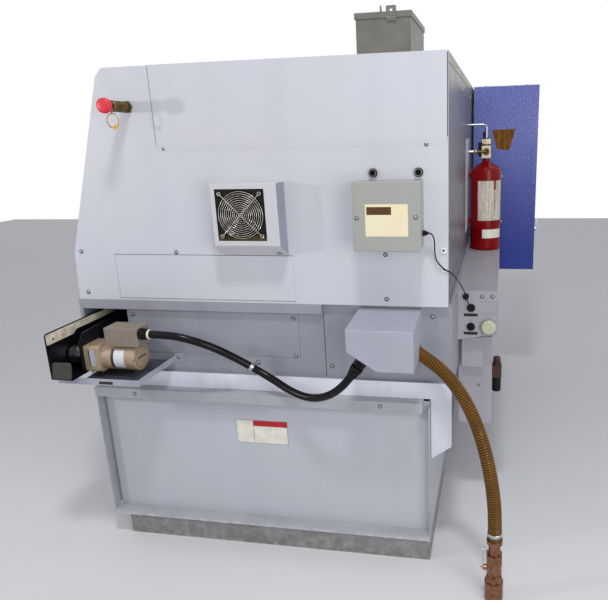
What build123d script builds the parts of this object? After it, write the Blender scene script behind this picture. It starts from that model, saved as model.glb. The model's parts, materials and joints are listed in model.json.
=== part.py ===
from build123d import *
import os
from math import atan2, cos, hypot, radians, sin, tan

# A sliding-headstock lathe, seen from its chip-conveyor end.
# Frame: +X is the end that the conveyor comes out of, -Y the operator's side, +Z up.
# The origin is on the floor, under the middle of the end face. All sizes are in mm.

# Overall sizes
machine_length = 2100.0
front_y = -655.0
rear_y = 651.5
base_half = 663.0
deck_low = 640.0
housing_low = 942.5
roof_z = 1704.0
sheet = 2.0
flange = 30.0
running = 0.05
seat = 0.3
bend = 4.0

# Front of the housing: upright up to the knee, then leaning back to the brow
knee_y = -647.0
knee_z = 1110.0
brow_y = -470.0
brow_drop = 24.0
brow_z = roof_z - brow_drop
roof_front_y = -445.0
brow_radius = 22.0
lean = atan2(brow_y - knee_y, brow_z - knee_z)
slope = hypot(brow_y - knee_y, brow_z - knee_z)

# Roof cover
cap_front_y = -285.0
cap_low = 1463.0
cap_rear_drop = 28.0
cap_lap = 1.5

# Base
deck_inset = 10.0
deck_x = -machine_length + deck_inset
deck_wall = 6.0
deck_window = 20.0
end_recess = 20.0
band_low = 908.0
apron_low = 680.0
apron_sheet = 3.0
apron_corner_z = (451.0, 402.0)
band_end_y = 233.5
seam_groove = 0.8
throat_side = 13.0
throat_width = 159.0
throat = (throat_side - base_half, throat_side + throat_width - base_half)
pedestal_inset = 40.0
pedestal_x = (-machine_length + pedestal_inset, -640.0)
pedestal_half = 590.0
pedestal_wall = 16.0
pedestal_corner = 30.0
pocket_web = 80.0
pocket_depth = 5.0
foot_height = 62.0
foot_pad = 42.0
foot_disc = 14.0
foot_screw = 12.0
foot_nut = (19.0, 18.0)
foot_inset = (90.0, 70.0)
foot_boss = (120.0, 40.0)
feet_along = 3
chute_side = (10.0, 61.0)
chute_y = (throat[0] + chute_side[0], throat[1] + chute_side[1])
plate_side = 11.0
plate_y_low = (throat[1] + plate_side, 144.0)
plate_z_low = (747.0, 904.0)
plate_y_high = (-492.0, 146.0)
plate_z_high = (952.0, 1104.0)

# Coolant tank and its front frame
tank_x = -590.0
tank_y = (-620.0, 589.0)
tank_z = (100.0, 615.0)
tank_wall = 3.0
skid_front = 10.0
skid_back = 10.0
skid_y = (-585.0, 586.0)
skid_plate = 8.0
fork_y = (60.0, 520.0)
fork_front = 40.0
frame_y = (-627.0, 592.0)
frame_z = (120.0, 623.0)
frame_depth = 40.0
frame_face = 35.4
frame_sheet = 3.0
frame_notch = 22.0
gusset = (30.0, 50.0)

# Fan
fan_y = 11.0
fan_z = 1246.0
fan_box_y = (-86.0, 134.0)
fan_box_z = (1149.0, 1344.0)
fan_box_depth = 70.0
fan_skirt_z = 1105.0
fan_open = 81.0
fan_square = 86.0
fan_bore = 76.0
fan_body_depth = 42.0
fan_hub = 27.0
fan_shaft = 4.0
fan_strut = (8.0, 6.0)
fan_gap = 3.0
blade_chord = 30.0
fan_blades = 7
blade_pitch = 32
guard_rings = 10
guard_first = 12.0
guard_pitch = 7.1
guard_wire = 1.8
guard_corner = 100.0

# Junction box
box_y = (379.0, 577.0)
box_z = (1142.0, 1344.0)
box_depth = 100.0
box_out = 30.0
lid_depth = 10.0
lid_lap = 2.0
plug_y = (422.0, 563.0)
plug_z = 1365.0
plug_radius = 14.0
plug_depth = 9.0

# Fire pull station
pull_y = -372.0
pull_drop = 121.0
pull_z = roof_z - pull_drop
pull_nut = (20.0, 12.0)
pull_neck = 15.5
pull_stem = 5.0
pull_collar = (60.0, 86.0)
pull_collar_radius = 17.0
pull_knob_radius = 21.0
pull_knob_deep = 22.0
pull_knob_face = 129.0
pin_radius = 1.5
pin_x = 74.0
ring_radius = 13.0
ring_wire = 1.2
tag_radius = (17.0, 12.0)
tag_thick = 1.6

# Conveyor
trough_side = 27.0
trough_width = 78.0
plate_y = (throat[0] + trough_side, throat[0] + trough_side + trough_width)
plate = 3.0
trough_z = (733.0, 888.0)
trough_x = (-1300.0, 235.0)
trough_corner = (8.0, 4.0)
near_front = (55.0, 80.0)
near_drop = (48.0, 18.0, 6.0)
wear_back = 1135.0
wear_front = (145.0, 125.0, 3.0)
wear_drop = (26.0, 38.0, 4.0)
wear = 4.0
drive_x = 120.0
drive_z = 782.0
roller_radius = 30.0
roller_gap = (5.0, 1.0)
belt = 3.0
belt_side = 1.0
cleat = (3.0, 8.0)
cleat_pitch = 76.0
tail_x = -1180.0
shaft_radius = 7.5
shaft_reach = 30.0
shaft_end = 4.0
gearhead = 45.0
gearhead_corner = 9.0
motor_radius = 45.0
cowl = (1.5, 26.0, 5.0)
cap_slot = (46.0, 5.0)
cap_groove = (36.0, 34.0, 1.0)
gearhead_length = 58.0
motor_length = 123.0
head_y = plate_y[1] + gearhead_length
motor_end_y = head_y + motor_length
terminal_x = (85.0, 160.0)
terminal_inset = 22.0
terminal_length = 120.0
terminal_y = (head_y + terminal_inset, head_y + terminal_inset + terminal_length)
terminal_top = 890.0
terminal_corner = (6.0, 2.0)
gland_x = 140.0
gland_z = 868.0
gland_nut = 12.0
gland_length = 27.0
gland_radii = (16.0, 14.0, 18.0, 15.0)
tray_width = 219.5
tray_end_y = plate_y[1] + tray_width
tray_front = 210.0
tray_low = 715.0
tray_sheet = 2.5
tray_lip = 22.0
tray_tab = 30.0

# Hose cover
hood_y = (361.0, 566.0)
hood_z = (791.0, 933.0)
hood_front = 195.0
hood_fall = 11.4
hood_cut = (92.0, 61.0)
hood_gland = (14.0, 30.0)
outlet = (40.0, 488.0, 846.0)
outlet_radius = 18.0
outlet_back = 30.0
outlet_gap = 2.5

# Cords
conduit_radius = 13.0
hose_radius = 22.5
cable_radius = 2.5
cable_gland = (9.0, 17.0)
cable_z = 1185.0
valve_x = 163.0
valve_y = 813.0
valve_hex = 28.0
valve_low = 8.0
valve_steps = (70.0, 96.0, 140.0, 172.0, 212.0, 226.0)
valve_bore = 20.0
valve_cap = 10.0
stem_z = 118.0
stem_reach = 34.0
valve_neck = (19.0, 24.0, 30.0)
valve_stem = 9.0
lever_pin = 3.0
lever_size = (16.0, 3.0)
lever_z = (108.0, 190.0)

# What hangs on the rear stands off the deck or the housing, whichever is further out
rear_out = max(base_half, rear_y + cap_lap)

# Rear lower duct with its connector end
duct_x = (-1440.0, -290.0)
duct_depth = 146.0
duct_y = rear_out + duct_depth
duct_top = 924.0
duct_low = (736.0, 760.0)
socket_in = 48.0
socket_y = rear_out + socket_in
socket_z = (860.5, 788.0)
socket_sizes = ((15.0, 6.0), (11.0, 9.0))
knob_in = 29.0
knob_y = rear_out + knob_in
knob_z = 904.0
knob_radius = 11.0
dome_in = 112.0
dome_y = rear_out + dome_in
dome_z = 790.0
dome_sizes = ((20.0, 8.0), (27.0, 14.0))
pump_x = (-560.0, -350.0)
pump_depth = 127.0
pump_y = rear_out + pump_depth
pump_drop = 6.0
pump_z = (370.0, duct_low[0] - pump_drop)
pump_tab = (24.0, 12.5, 93.0, 120.0)
regulator_x = (-400.0, -360.0)
regulator_z = (560.0, 610.0)
regulator_out = 36.0
bowl = (17.0, 60.0)
bonnet = (14.0, 30.0)
knob_disc = 9.0
socket_out = socket_sizes[0][1] + socket_sizes[1][1]

# Bottle
bottle_x = -1140.0
bottle_radius = 72.5
bottle_gap = 2.1
bottle_y = rear_out + bottle_radius + bottle_gap
bottle_foot = 8.0
bottle_shoulder = 1304.0
bottle_neck = 1353.0
neck_radius = 18.0
strap_z = (1278.0, 1057.5)
strap_width = 22.0
strap_sheet = 2.0
bracket_half = 70.0
bracket_reach = 190.0
bracket_x = (bottle_x - bracket_half, bottle_x + bracket_reach)
bracket_z = (1030.0, 1450.0)
port_z = 1388.0
port_radius = 8.0
ball = (12.0, 50.0)
gauge = (16.0, 26.0, 14.0)
valve_top = 1450.0
valve_radii = (16.0, 19.0, 13.0)
valve_heights = (42.0, 8.0)
tube_z = 1511.0
tube_radius = 5.0

# Electrical cabinet
cabinet_inset = 50.0
cabinet_depth = 299.0
cabinet_drop = 1.0
cabinet_x = (-machine_length + cabinet_inset, -1470.0)
cabinet_y = (rear_out, rear_out + cabinet_depth)
cabinet_z = (745.0, roof_z - cabinet_drop)
door_depth = 30.0
cabinet_front = cabinet_y[1] + door_depth
hinge_gap = 6.0
hinge_inset = 155.0
knuckle = 32.0
knuckle_radius = 5.5
latch_inset = 35.0
latch_x = cabinet_x[1] - latch_inset
latch_z = 966.0
latch_stem = 5.0
latch_grip = (8.0, 14.0, 12.0, 46.0)
drive_width = 76.0
drive_pitch = 88.0
drive_margin = 70.0
drive_deep = (190.0, 150.0)
drive_top = 104.0
drive_z_high = (1280.0, roof_z - drive_top)
drive_z_low = (830.0, 1000.0)

# Roof box
roof_box_x = (-650.0, -300.0)
roof_box_y = (317.0, 504.0)
roof_box_high = 166.0
roof_box_top = roof_z + roof_box_high
roof_lid = (20.0, 4.0)
roof_hasp = (30.0, 18.0, 20.0)

# Working parts inside
spindle_y = -230.0
spindle_z = 1290.0
bed_inset = 100.0
bed_x = (-machine_length + bed_inset, -620.0)
bed_y = (-420.0, 260.0)
bed_top = 1010.0
way_top = 1130.0
way_half = (140.0, 110.0)
rail = 20.0
spindle_radius = 35.0
bar_radius = 13.0
bush_radius = 45.0
head_inset = 200.0
head_length = 240.0
head_x = (bed_x[0] + head_inset, bed_x[0] + head_inset + head_length)
head_half = (120.0, 90.0, 70.0)
sub_x = (-900.0, -680.0)
sub_half = (105.0, 75.0, 60.0)
sub_travel = 150.0
head_travel = 140.0
wall_thick = 40.0
wall_x = (head_x[1] + head_travel, head_x[1] + head_travel + wall_thick)
wall_top = 1450.0
bulkhead_x = -600.0
bulkhead_gap = (19.0, 87.0, 44.0)
rail_strip = (12.0, 4.0)
column_y = (60.0, 200.0)
column_top = 1520.0
column_rail_z = (1060.0, 1500.0)
wash_fall = 50.0
slide_inset = 45.0
slide_length = 170.0
slide_x = (wall_x[1] + slide_inset, wall_x[1] + slide_inset + slide_length)
tool_inset = 10.0
tool_length = 125.0
tool_x = (slide_x[0] + tool_inset, slide_x[0] + tool_inset + tool_length)
tools = 5
tool_pitch = 38.0
tool_gap = 5.0
tool_block = 70.0
tool_holder = (25.0, 40.0, 22.0)
tool_shank = (55.0, 12.0)
shelf_z = (1160.0, 1180.0)
shelf_front = -110.0
slide_plate = 35.0
slide_top = 1420.0
spindle_gap = 10.0
spindle_nose = 30.0
pulley = (58.0, 40.0)
bush_flange = (56.0, 12.0)
bush_nose = (28.0, 22.0)
sub_cap = (44.0, 22.0)
sub_bore = 90.0

# Cutting-room door, on the inner side of the leaning front
door_open_x = (wall_x[1], sub_x[1])
door_header = 77.0
door_open_s = (60.0, slope - door_header)
door_lap = 30.0
door_thick = 22.0
window_side = (90.0, 170.0)
window_end = (90.0, 70.0)
handle_half = 100.0
handle_bar = (16.0, 12.0)
handle_reach = 30.0
panel_x = (-590.0, -100.0)
panel_header = 57.0
panel_s = (60.0, slope - panel_header)
panel_sunk = 32.0
panel_deep = 90.0
panel_wall = 4.0
screen_x = (60.0, 90.0)
screen_s = (230.0, 30.0)
screen_deep = 1.0
knob_stem = 6.0
stem_in = 12.0
stop_sizes = (20.0, 14.0, 12.0)
wheel_sizes = (32.0, 14.0, 12.0)
wheel_inset = (100.0, 80.0)
stop_inset = (60.0, 70.0)
wheel_place = (panel_x[0] + wheel_inset[0], panel_s[0] + wheel_inset[1])
stop_place = (panel_x[1] - stop_inset[0], panel_s[0] + stop_inset[1])


def block(x, y, z, mode=Mode.ADD):
    """Adds a box between two positions along each axis."""
    with Locations(((x[0] + x[1]) / 2, (y[0] + y[1]) / 2, (z[0] + z[1]) / 2)):
        Box(abs(x[1] - x[0]), abs(y[1] - y[0]), abs(z[1] - z[0]), mode=mode)


def rod(radius, start, end, mode=Mode.ADD):
    """Adds a round bar between two points."""
    run = Vector(*end) - Vector(*start)
    with BuildSketch(Plane(origin=start, z_dir=run)) as disc:
        Circle(radius)
    extrude(disc.sketch, amount=run.length, mode=mode)


def section_x(points, x, mode=Mode.ADD):
    """Extrudes an outline of (y, z) points along X."""
    with BuildSketch(Plane(origin=(x[0], 0, 0), x_dir=(0, 1, 0), z_dir=(1, 0, 0))) as outline_face:
        with BuildLine():
            Polyline(*points, close=True)
        make_face()
    extrude(outline_face.sketch, amount=x[1] - x[0], mode=mode)


def section_y(points, y, mode=Mode.ADD):
    """Extrudes an outline of (x, z) points along Y."""
    with BuildSketch(Plane(origin=(0, y[1], 0), x_dir=(1, 0, 0), z_dir=(0, -1, 0))) as outline_face:
        with BuildLine():
            Polyline(*points, close=True)
        make_face()
    extrude(outline_face.sketch, amount=y[1] - y[0], mode=mode)


def tube_path(points):
    """Straight runs joined by arcs as large as the runs allow."""
    knots = [Vector(*p) for p in points]
    radii = []
    for before, here, after in zip(knots, knots[1:], knots[2:]):
        turn = radians((here - before).get_angle(after - here))
        shorter = min((here - before).length, (after - here).length)
        radii.append(0.45 * shorter / tan(turn / 2))
    return FilletPolyline(*points, radius=radii)


def cord(points, radius):
    """A plain tube along a cord's route."""
    with BuildPart() as tube:
        with BuildLine():
            path = tube_path(points)
        with BuildSketch(Plane(origin=path @ 0, z_dir=path % 0)):
            Circle(radius)
        sweep()
    return tube.part


def save(part, label):
    part.label = label
    export_step(part, "parts/" + label + ".step")


os.makedirs("parts", exist_ok=True)

front_plane = Plane(origin=(0, knee_y, knee_z), x_dir=(1, 0, 0), z_dir=(0, -cos(lean), sin(lean)))
front_axis = Axis((0, knee_y, knee_z), (0, -cos(lean), sin(lean)))
outline = [
    (front_y, housing_low),
    (knee_y, knee_z),
    (brow_y, brow_z),
    (roof_front_y, roof_z),
    (rear_y, roof_z),
    (rear_y, housing_low),
]

# Levelling feet under the pedestal
middle_x = (pedestal_x[0] + pedestal_x[1]) / 2
foot_step_x = (pedestal_x[1] - pedestal_x[0] - 2 * foot_inset[0]) / (feet_along - 1)
foot_y = pedestal_half - foot_inset[1]
feet = []
for i in range(feet_along):
    for side in (-1, 1):
        feet.append((pedestal_x[0] + foot_inset[0] + foot_step_x * i, side * foot_y))
with BuildPart() as levelling_feet:
    with BuildSketch() as discs:
        with Locations(*feet):
            Circle(foot_pad)
    extrude(discs.sketch, amount=foot_disc)
    with BuildSketch(Plane.XY.offset(foot_disc)) as screws:
        with Locations(*feet):
            Circle(foot_screw)
    extrude(screws.sketch, amount=foot_height + foot_boss[1] / 2 - foot_disc)
    with BuildSketch(Plane.XY.offset(foot_height - foot_nut[1])) as nuts:
        with Locations(*feet):
            RegularPolygon(foot_nut[0], 6)
    extrude(nuts.sketch, amount=foot_nut[1])
save(levelling_feet.part, "levelling_feet")

# Pedestal: a hollow casting, open below, with foot bosses inside and pockets along its sides
with BuildPart() as base_pedestal:
    block(pedestal_x, (-pedestal_half, pedestal_half), (foot_height, deck_low))
    fillet(base_pedestal.edges().filter_by(Axis.Z), radius=pedestal_corner)
    inner_x = (pedestal_x[0] + pedestal_wall, pedestal_x[1] - pedestal_wall)
    inner_half = pedestal_half - pedestal_wall
    block(inner_x, (-inner_half, inner_half), (foot_height, deck_low - pedestal_wall), mode=Mode.SUBTRACT)
    with BuildSketch(Plane.XY.offset(foot_height)) as bosses:
        with Locations(*feet):
            Rectangle(foot_boss[0], foot_boss[0])
    extrude(bosses.sketch, amount=foot_boss[1])
    with BuildSketch(Plane.XY.offset(foot_height)) as bores:
        with Locations(*feet):
            Circle(foot_screw + seat)
    extrude(bores.sketch, amount=foot_boss[1], mode=Mode.SUBTRACT)
    pocket_pitch = (pedestal_x[1] - pedestal_x[0] - pocket_web / 2) / feet_along
    pocket_high = deck_low - foot_height - 2 * pocket_web
    for side in (-1, 1):
        middle = (middle_x, side * pedestal_half, (foot_height + deck_low) / 2)
        with BuildSketch(Plane(origin=middle, x_dir=(-side, 0, 0), z_dir=(0, side, 0))) as pockets:
            with GridLocations(pocket_pitch, 1, feet_along, 1):
                RectangleRounded(pocket_pitch - pocket_web, pocket_high, pocket_web / 2)
        extrude(pockets.sketch, amount=-pocket_depth, mode=Mode.SUBTRACT)
save(base_pedestal.part, "base_pedestal")

# Deck: the welded upper base, with the conveyor's throat and the chip chute
with BuildPart() as base_deck:
    end = end_recess
    side_view = [
        (deck_x, deck_low),
        (-apron_sheet, deck_low),
        (-apron_sheet, apron_low),
        (-end, apron_low),
        (-end, band_low),
        (0, band_low),
        (0, housing_low),
        (deck_x, housing_low),
    ]
    section_y(side_view, (-base_half, base_half))
    block((-end, 0), (band_end_y, base_half), (band_low, housing_low), mode=Mode.SUBTRACT)
    hollow_x = (deck_x + deck_wall, -end - deck_wall)
    hollow_half = base_half - deck_wall
    hollow_y = (-hollow_half, hollow_half)
    block(hollow_x, hollow_y, (deck_low + deck_wall, housing_low - deck_wall), mode=Mode.SUBTRACT)
    over_tank = (tank_x - pocket_web / 2, -end - deck_wall)
    block(over_tank, hollow_y, (deck_low, deck_low + deck_wall), mode=Mode.SUBTRACT)
    block((-end - deck_wall, 0), throat, (apron_low, band_low), mode=Mode.SUBTRACT)
    window_y = (throat[1] + deck_window, base_half - deck_window)
    window_z = (apron_low + deck_window, band_low - deck_window)
    block((-end - deck_wall, -end), window_y, window_z, mode=Mode.SUBTRACT)
    chute_x = (wall_x[1] + deck_window, sub_x[1] - deck_window)
    block(chute_x, chute_y, (housing_low - deck_wall, housing_low), mode=Mode.SUBTRACT)
    block((-end, 0), (-base_half, throat[0]), (apron_low, band_low))
save(base_deck.part, "base_deck")

# Mid panel behind the recess, with the coolant outlet elbow welded on
recess_x = (-end_recess, -end_recess + sheet)
hose_dir = Vector(5, 78, -46).normalized()
with BuildPart() as mid_panel:
    block(recess_x, (throat[1], band_end_y), (apron_low, band_low))
    block(recess_x, (band_end_y, base_half), (apron_low, housing_low))
    groove_y = (band_end_y - seam_groove, band_end_y + seam_groove)
    block((recess_x[1] - seam_groove, recess_x[1]), groove_y, (apron_low, band_low), mode=Mode.SUBTRACT)
    elbow = Vector(*outlet) - hose_dir * outlet_back
    rod(outlet_radius, (recess_x[1], elbow.Y, elbow.Z), elbow)
    with Locations(elbow):
        Sphere(outlet_radius)
    rod(outlet_radius, elbow, outlet)
save(mid_panel.part, "mid_panel")

# Two access plates, one in the recess and one in the end cover's face
with BuildPart() as access_plates:
    block((recess_x[1], recess_x[1] + sheet), plate_y_low, plate_z_low)
    block((0, sheet), plate_y_high, plate_z_high)
    fillet(access_plates.edges().filter_by(Axis.X), radius=bend)
save(access_plates.part, "access_plates")

# Apron sheet over the tank, with its rear corner cut on the skew
with BuildPart() as base_end_panel:
    apron_end = frame_y[1] + sheet
    apron = [
        (frame_y[0], frame_z[1]),
        (frame_y[0], apron_low),
        (base_half, apron_low),
        (base_half, apron_corner_z[0]),
        (apron_end, apron_corner_z[1]),
        (apron_end, frame_z[1]),
    ]
    section_x(apron, (-apron_sheet, 0))
save(base_end_panel.part, "base_end_panel")

# Coolant tank: open above, on a skid that fork tines reach from inside
with BuildPart() as coolant_tank:
    block((tank_x, 0), tank_y, tank_z)
    hollow_x = (tank_x + tank_wall, -tank_wall)
    hollow_y = (tank_y[0] + tank_wall, tank_y[1] - tank_wall)
    block(hollow_x, hollow_y, (tank_z[0] + tank_wall, tank_z[1]), mode=Mode.SUBTRACT)
    block((tank_x + skid_back, skid_front), skid_y, (0, tank_z[0]))
    fork_z = (skid_plate, tank_z[0] - skid_plate)
    for side in (-1, 1):
        tine_y = (side * fork_y[0], side * fork_y[1])
        block((tank_x + skid_back, -fork_front), tine_y, fork_z, mode=Mode.SUBTRACT)
save(coolant_tank.part, "coolant_tank")

# Frame around the tank's end: folded channels above and below, plates at the sides
with BuildPart() as tank_frame:
    fs = frame_sheet
    frame_top = frame_z[1]
    inner_face = frame_depth - fs
    top_channel = [
        (-fs, frame_top - fs),
        (inner_face, frame_top - fs),
        (inner_face, frame_top - frame_face),
        (frame_depth, frame_top - frame_face),
        (frame_depth, frame_top),
        (-fs, frame_top),
    ]
    section_y(top_channel, (frame_y[0], frame_y[1] - frame_notch))
    side_x = (0, inner_face - 1)
    block(side_x, (frame_y[0], frame_y[0] + fs), (frame_z[0], frame_top - fs))
    block(side_x, (frame_y[1] - fs, frame_y[1]), (frame_z[0], frame_top - frame_notch))
    gusset_z = frame_top - frame_notch - gusset[1]
    block((0, sheet), (frame_y[1] - gusset[0], frame_y[1]), (gusset_z, frame_top - frame_notch))
    block((0, sheet), (frame_y[1] - gusset[0], frame_y[1] - frame_notch - sheet), (gusset_z, frame_top))
    foot_drop = frame_z[0] - tank_z[0]
    low_channel = [
        (0, frame_z[0]),
        (frame_depth, frame_z[0]),
        (frame_depth, frame_z[0] - foot_drop),
        (inner_face, frame_z[0] - foot_drop),
        (inner_face, frame_z[0] - fs),
        (0, frame_z[0] - fs),
    ]
    section_y(low_channel, frame_y)
save(tank_frame.part, "tank_frame")

# End cover: a folded pan with the fan's air hole
with BuildPart() as end_cover:
    with BuildSketch(Plane.YZ) as end_face:
        with BuildLine():
            Polyline(*outline, close=True)
        make_face()
        fillet(end_face.vertices().sort_by(Axis.Y)[2:3], radius=brow_radius)
    extrude(amount=-flange)
    offset(amount=-sheet, openings=end_cover.faces().sort_by(Axis.X)[0])
    air_y = (fan_y - fan_bore, fan_y + fan_bore)
    air_z = (fan_z - fan_bore, fan_z + fan_bore)
    block((-sheet, 0), air_y, air_z, mode=Mode.SUBTRACT)
save(end_cover.part, "end_cover")

# Rear wall, far end wall and inner bulkhead, welded into one enclosure
with BuildPart() as enclosure_shell:
    block((-machine_length, -flange), (rear_y - sheet, rear_y), (housing_low, roof_z - sheet))
    with BuildSketch(Plane.YZ.offset(-machine_length)):
        with BuildLine():
            Polyline(*outline, close=True)
        make_face()
    extrude(amount=sheet)
    bar_end = (-machine_length, spindle_y, spindle_z)
    bar_in = (-machine_length + sheet, spindle_y, spindle_z)
    rod(bar_radius + bulkhead_gap[0], bar_end, bar_in, mode=Mode.SUBTRACT)
    top = roof_z - bulkhead_gap[2]
    inner = [
        (knee_y + bulkhead_gap[1], housing_low),
        (knee_y + bulkhead_gap[1], knee_z),
        (brow_y + bulkhead_gap[1], top),
        (rear_y - sheet, top),
        (rear_y - sheet, housing_low),
    ]
    section_x(inner, (bulkhead_x - sheet, bulkhead_x))
save(enclosure_shell.part, "enclosure_shell")

# Front frame: leaning sheet with the door and panel openings and two door rails
front_x = (-machine_length + sheet, -flange)
with BuildPart() as front_frame:
    skin = [
        (front_y, housing_low),
        (knee_y, knee_z),
        (brow_y, brow_z),
        (roof_front_y, roof_z),
        (cap_front_y + flange, roof_z),
        (cap_front_y + flange, roof_z - sheet),
        (roof_front_y + sheet / 2, roof_z - sheet),
        (brow_y + sheet, brow_z - sheet / 2),
        (knee_y + sheet, knee_z - sheet / 2),
        (front_y + sheet, housing_low),
    ]
    section_x(skin, front_x)
with BuildPart(front_plane) as front_openings:
    block(door_open_x, door_open_s, (-door_thick, door_thick))
    block(panel_x, panel_s, (-door_thick, door_thick))
with BuildPart(front_plane) as door_rails:
    rail_x = (-machine_length + flange, door_open_x[1] + door_lap + rail_strip[0])
    low = door_open_s[0] - door_lap
    high = door_open_s[1] + door_lap
    for edge, outward in ((low - seat, -1), (high + 1, 1)):
        strip_s = (edge, edge + outward * rail_strip[0])
        block(rail_x, strip_s, (-sheet - door_thick - rail_strip[1], -sheet))
with front_frame:
    add(front_openings.part, mode=Mode.SUBTRACT)
    add(door_rails.part)
save(front_frame.part, "front_frame")

# Cutting-room door: a folded pan with a window and a bar handle
with BuildPart(front_plane) as cabin_door:
    door_x = (door_open_x[0] - door_lap, door_open_x[1] + door_lap)
    face = -sheet - seat
    block(door_x, (low, high), (face - door_thick, face))
    pan_x = (door_x[0] + sheet, door_x[1] - sheet)
    pan_s = (low + sheet, high - sheet)
    block(pan_x, pan_s, (face - door_thick, face - sheet), mode=Mode.SUBTRACT)
    window_x = (door_open_x[0] + window_side[0], door_open_x[1] - window_side[1])
    window_s = (door_open_s[0] + window_end[0], door_open_s[1] - window_end[1])
    block(window_x, window_s, (face - sheet, face), mode=Mode.SUBTRACT)
    handle_x = door_open_x[1] - window_side[1] / 3
    handle_s = (door_open_s[0] + door_open_s[1]) / 2
    bar_x = (handle_x - handle_bar[0] / 2, handle_x + handle_bar[0] / 2)
    bar_s = (handle_s - handle_half, handle_s + handle_half)
    block(bar_x, bar_s, (face + handle_reach - handle_bar[1], face + handle_reach))
    fillet(cabin_door.faces().sort_by(front_axis)[-1].edges(), radius=handle_bar[1] / 3)
    for s in (bar_s[0] + handle_bar[0], bar_s[1] - handle_bar[0]):
        foot_s = (s - handle_bar[0] / 2, s + handle_bar[0] / 2)
        block(bar_x, foot_s, (face, face + handle_reach - handle_bar[1] / 2))
save(cabin_door.part, "cabin_door")

# Operator panel, sunk into the front so that its buttons stay inside the outline
with BuildPart(front_plane) as control_panel:
    block((panel_x[0] + 1, panel_x[1] - 1), (panel_s[0] + 1, panel_s[1] - 1), (-panel_deep, 0))
    inside_x = (panel_x[0] + panel_wall, panel_x[1] - panel_wall)
    inside_s = (panel_s[0] + panel_wall, panel_s[1] - panel_wall)
    face_low = -panel_sunk - panel_wall
    block(inside_x, inside_s, (-panel_sunk, 0), mode=Mode.SUBTRACT)
    block(inside_x, inside_s, (-panel_deep, face_low), mode=Mode.SUBTRACT)
    glass_x = (panel_x[0] + screen_x[0], panel_x[1] - screen_x[1])
    glass_s = (panel_s[0] + screen_s[0], panel_s[1] - screen_s[1])
    block(glass_x, glass_s, (-panel_sunk - screen_deep, -panel_sunk), mode=Mode.SUBTRACT)
    with Locations((*wheel_place, -panel_sunk), (*stop_place, -panel_sunk)):
        Cylinder(knob_stem + running, 4 * panel_wall, mode=Mode.SUBTRACT)
save(control_panel.part, "control_panel")

upward = (Align.CENTER, Align.CENTER, Align.MIN)
with BuildPart(front_plane) as e_stop_button:
    with Locations((*stop_place, -panel_sunk - stem_in)):
        Cylinder(knob_stem, stem_in + stop_sizes[1], align=upward)
    with Locations((*stop_place, -panel_sunk + stop_sizes[1])):
        Cylinder(stop_sizes[0], stop_sizes[2], align=upward)
    fillet(e_stop_button.edges().filter_by(GeomType.CIRCLE).group_by(SortBy.LENGTH)[-1], radius=bend)
save(e_stop_button.part, "e_stop_button")

with BuildPart(front_plane) as handwheel:
    with Locations((*wheel_place, -panel_sunk - stem_in)):
        Cylinder(knob_stem, stem_in + sheet, align=upward)
    with Locations((*wheel_place, -panel_sunk + sheet)):
        Cylinder(wheel_sizes[0], wheel_sizes[1], align=upward)
    fillet(handwheel.edges().filter_by(GeomType.CIRCLE).group_by(SortBy.LENGTH)[-1], radius=sheet)
    grip_s = wheel_place[1] + wheel_sizes[0] - 2 * knob_stem + sheet
    with Locations((wheel_place[0], grip_s, -panel_sunk + sheet + wheel_sizes[1])):
        Cylinder(knob_stem, wheel_sizes[2], align=upward)
save(handwheel.part, "handwheel")

# Roof cover: laps over the end cover at the top
with BuildPart() as roof_cover:
    block((-machine_length, cap_lap), (cap_front_y, rear_y + cap_lap), (roof_z, roof_z + cap_lap))
    block((0, cap_lap), (cap_front_y, rear_y + cap_lap), (cap_low, roof_z))
    block((-machine_length, 0), (rear_y, rear_y + cap_lap), (roof_z - cap_rear_drop, roof_z))
save(roof_cover.part, "roof_cover")

# Fan cover: one folded sheet with a slanted underside and bent edges
with BuildPart() as fan_cover:
    top = fan_box_z[1]
    depth = fan_box_depth
    section_y([(0, top), (depth, top), (depth, fan_box_z[0]), (0, fan_skirt_z)], fan_box_y)
    front_edges = fan_cover.faces().sort_by(Axis.X)[-1].edges()
    fillet(front_edges, radius=bend)
    hollow = [
        (0, top - sheet),
        (depth - sheet, top - sheet),
        (depth - sheet, fan_box_z[0] + sheet / 2),
        (0, fan_skirt_z + sheet),
    ]
    section_y(hollow, (fan_box_y[0] + sheet, fan_box_y[1] - sheet), mode=Mode.SUBTRACT)
    open_y = (fan_y - fan_open, fan_y + fan_open)
    open_z = (fan_z - fan_open, fan_z + fan_open)
    block((depth - sheet, depth), open_y, open_z, mode=Mode.SUBTRACT)
save(fan_cover.part, "fan_cover")

fan_plane = Plane(origin=(0, fan_y, fan_z), x_dir=(0, 1, 0), z_dir=(1, 0, 0))
fan_front = fan_box_depth - sheet - seat
fan_back = fan_front - fan_body_depth
strut_level = fan_back + fan_strut[1] / 2
with BuildPart(fan_plane) as fan_body:
    half = fan_square
    block((-half, half), (-half, half), (fan_back, fan_front))
    fillet(fan_body.edges().filter_by(Axis.X), radius=2 * bend)
    with Locations((0, 0, (fan_back + fan_front) / 2)):
        Cylinder(fan_bore, fan_body_depth, mode=Mode.SUBTRACT)
    for turn in (45, 135):
        with Locations(Location((0, 0, strut_level), (0, 0, turn))):
            Box(2 * fan_bore + sheet, fan_strut[0], fan_strut[1])
    with Locations((0, 0, strut_level)):
        Cylinder(fan_hub, fan_strut[1])
        Cylinder(fan_shaft + running, fan_strut[1], mode=Mode.SUBTRACT)
save(fan_body.part, "fan_body")

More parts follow.
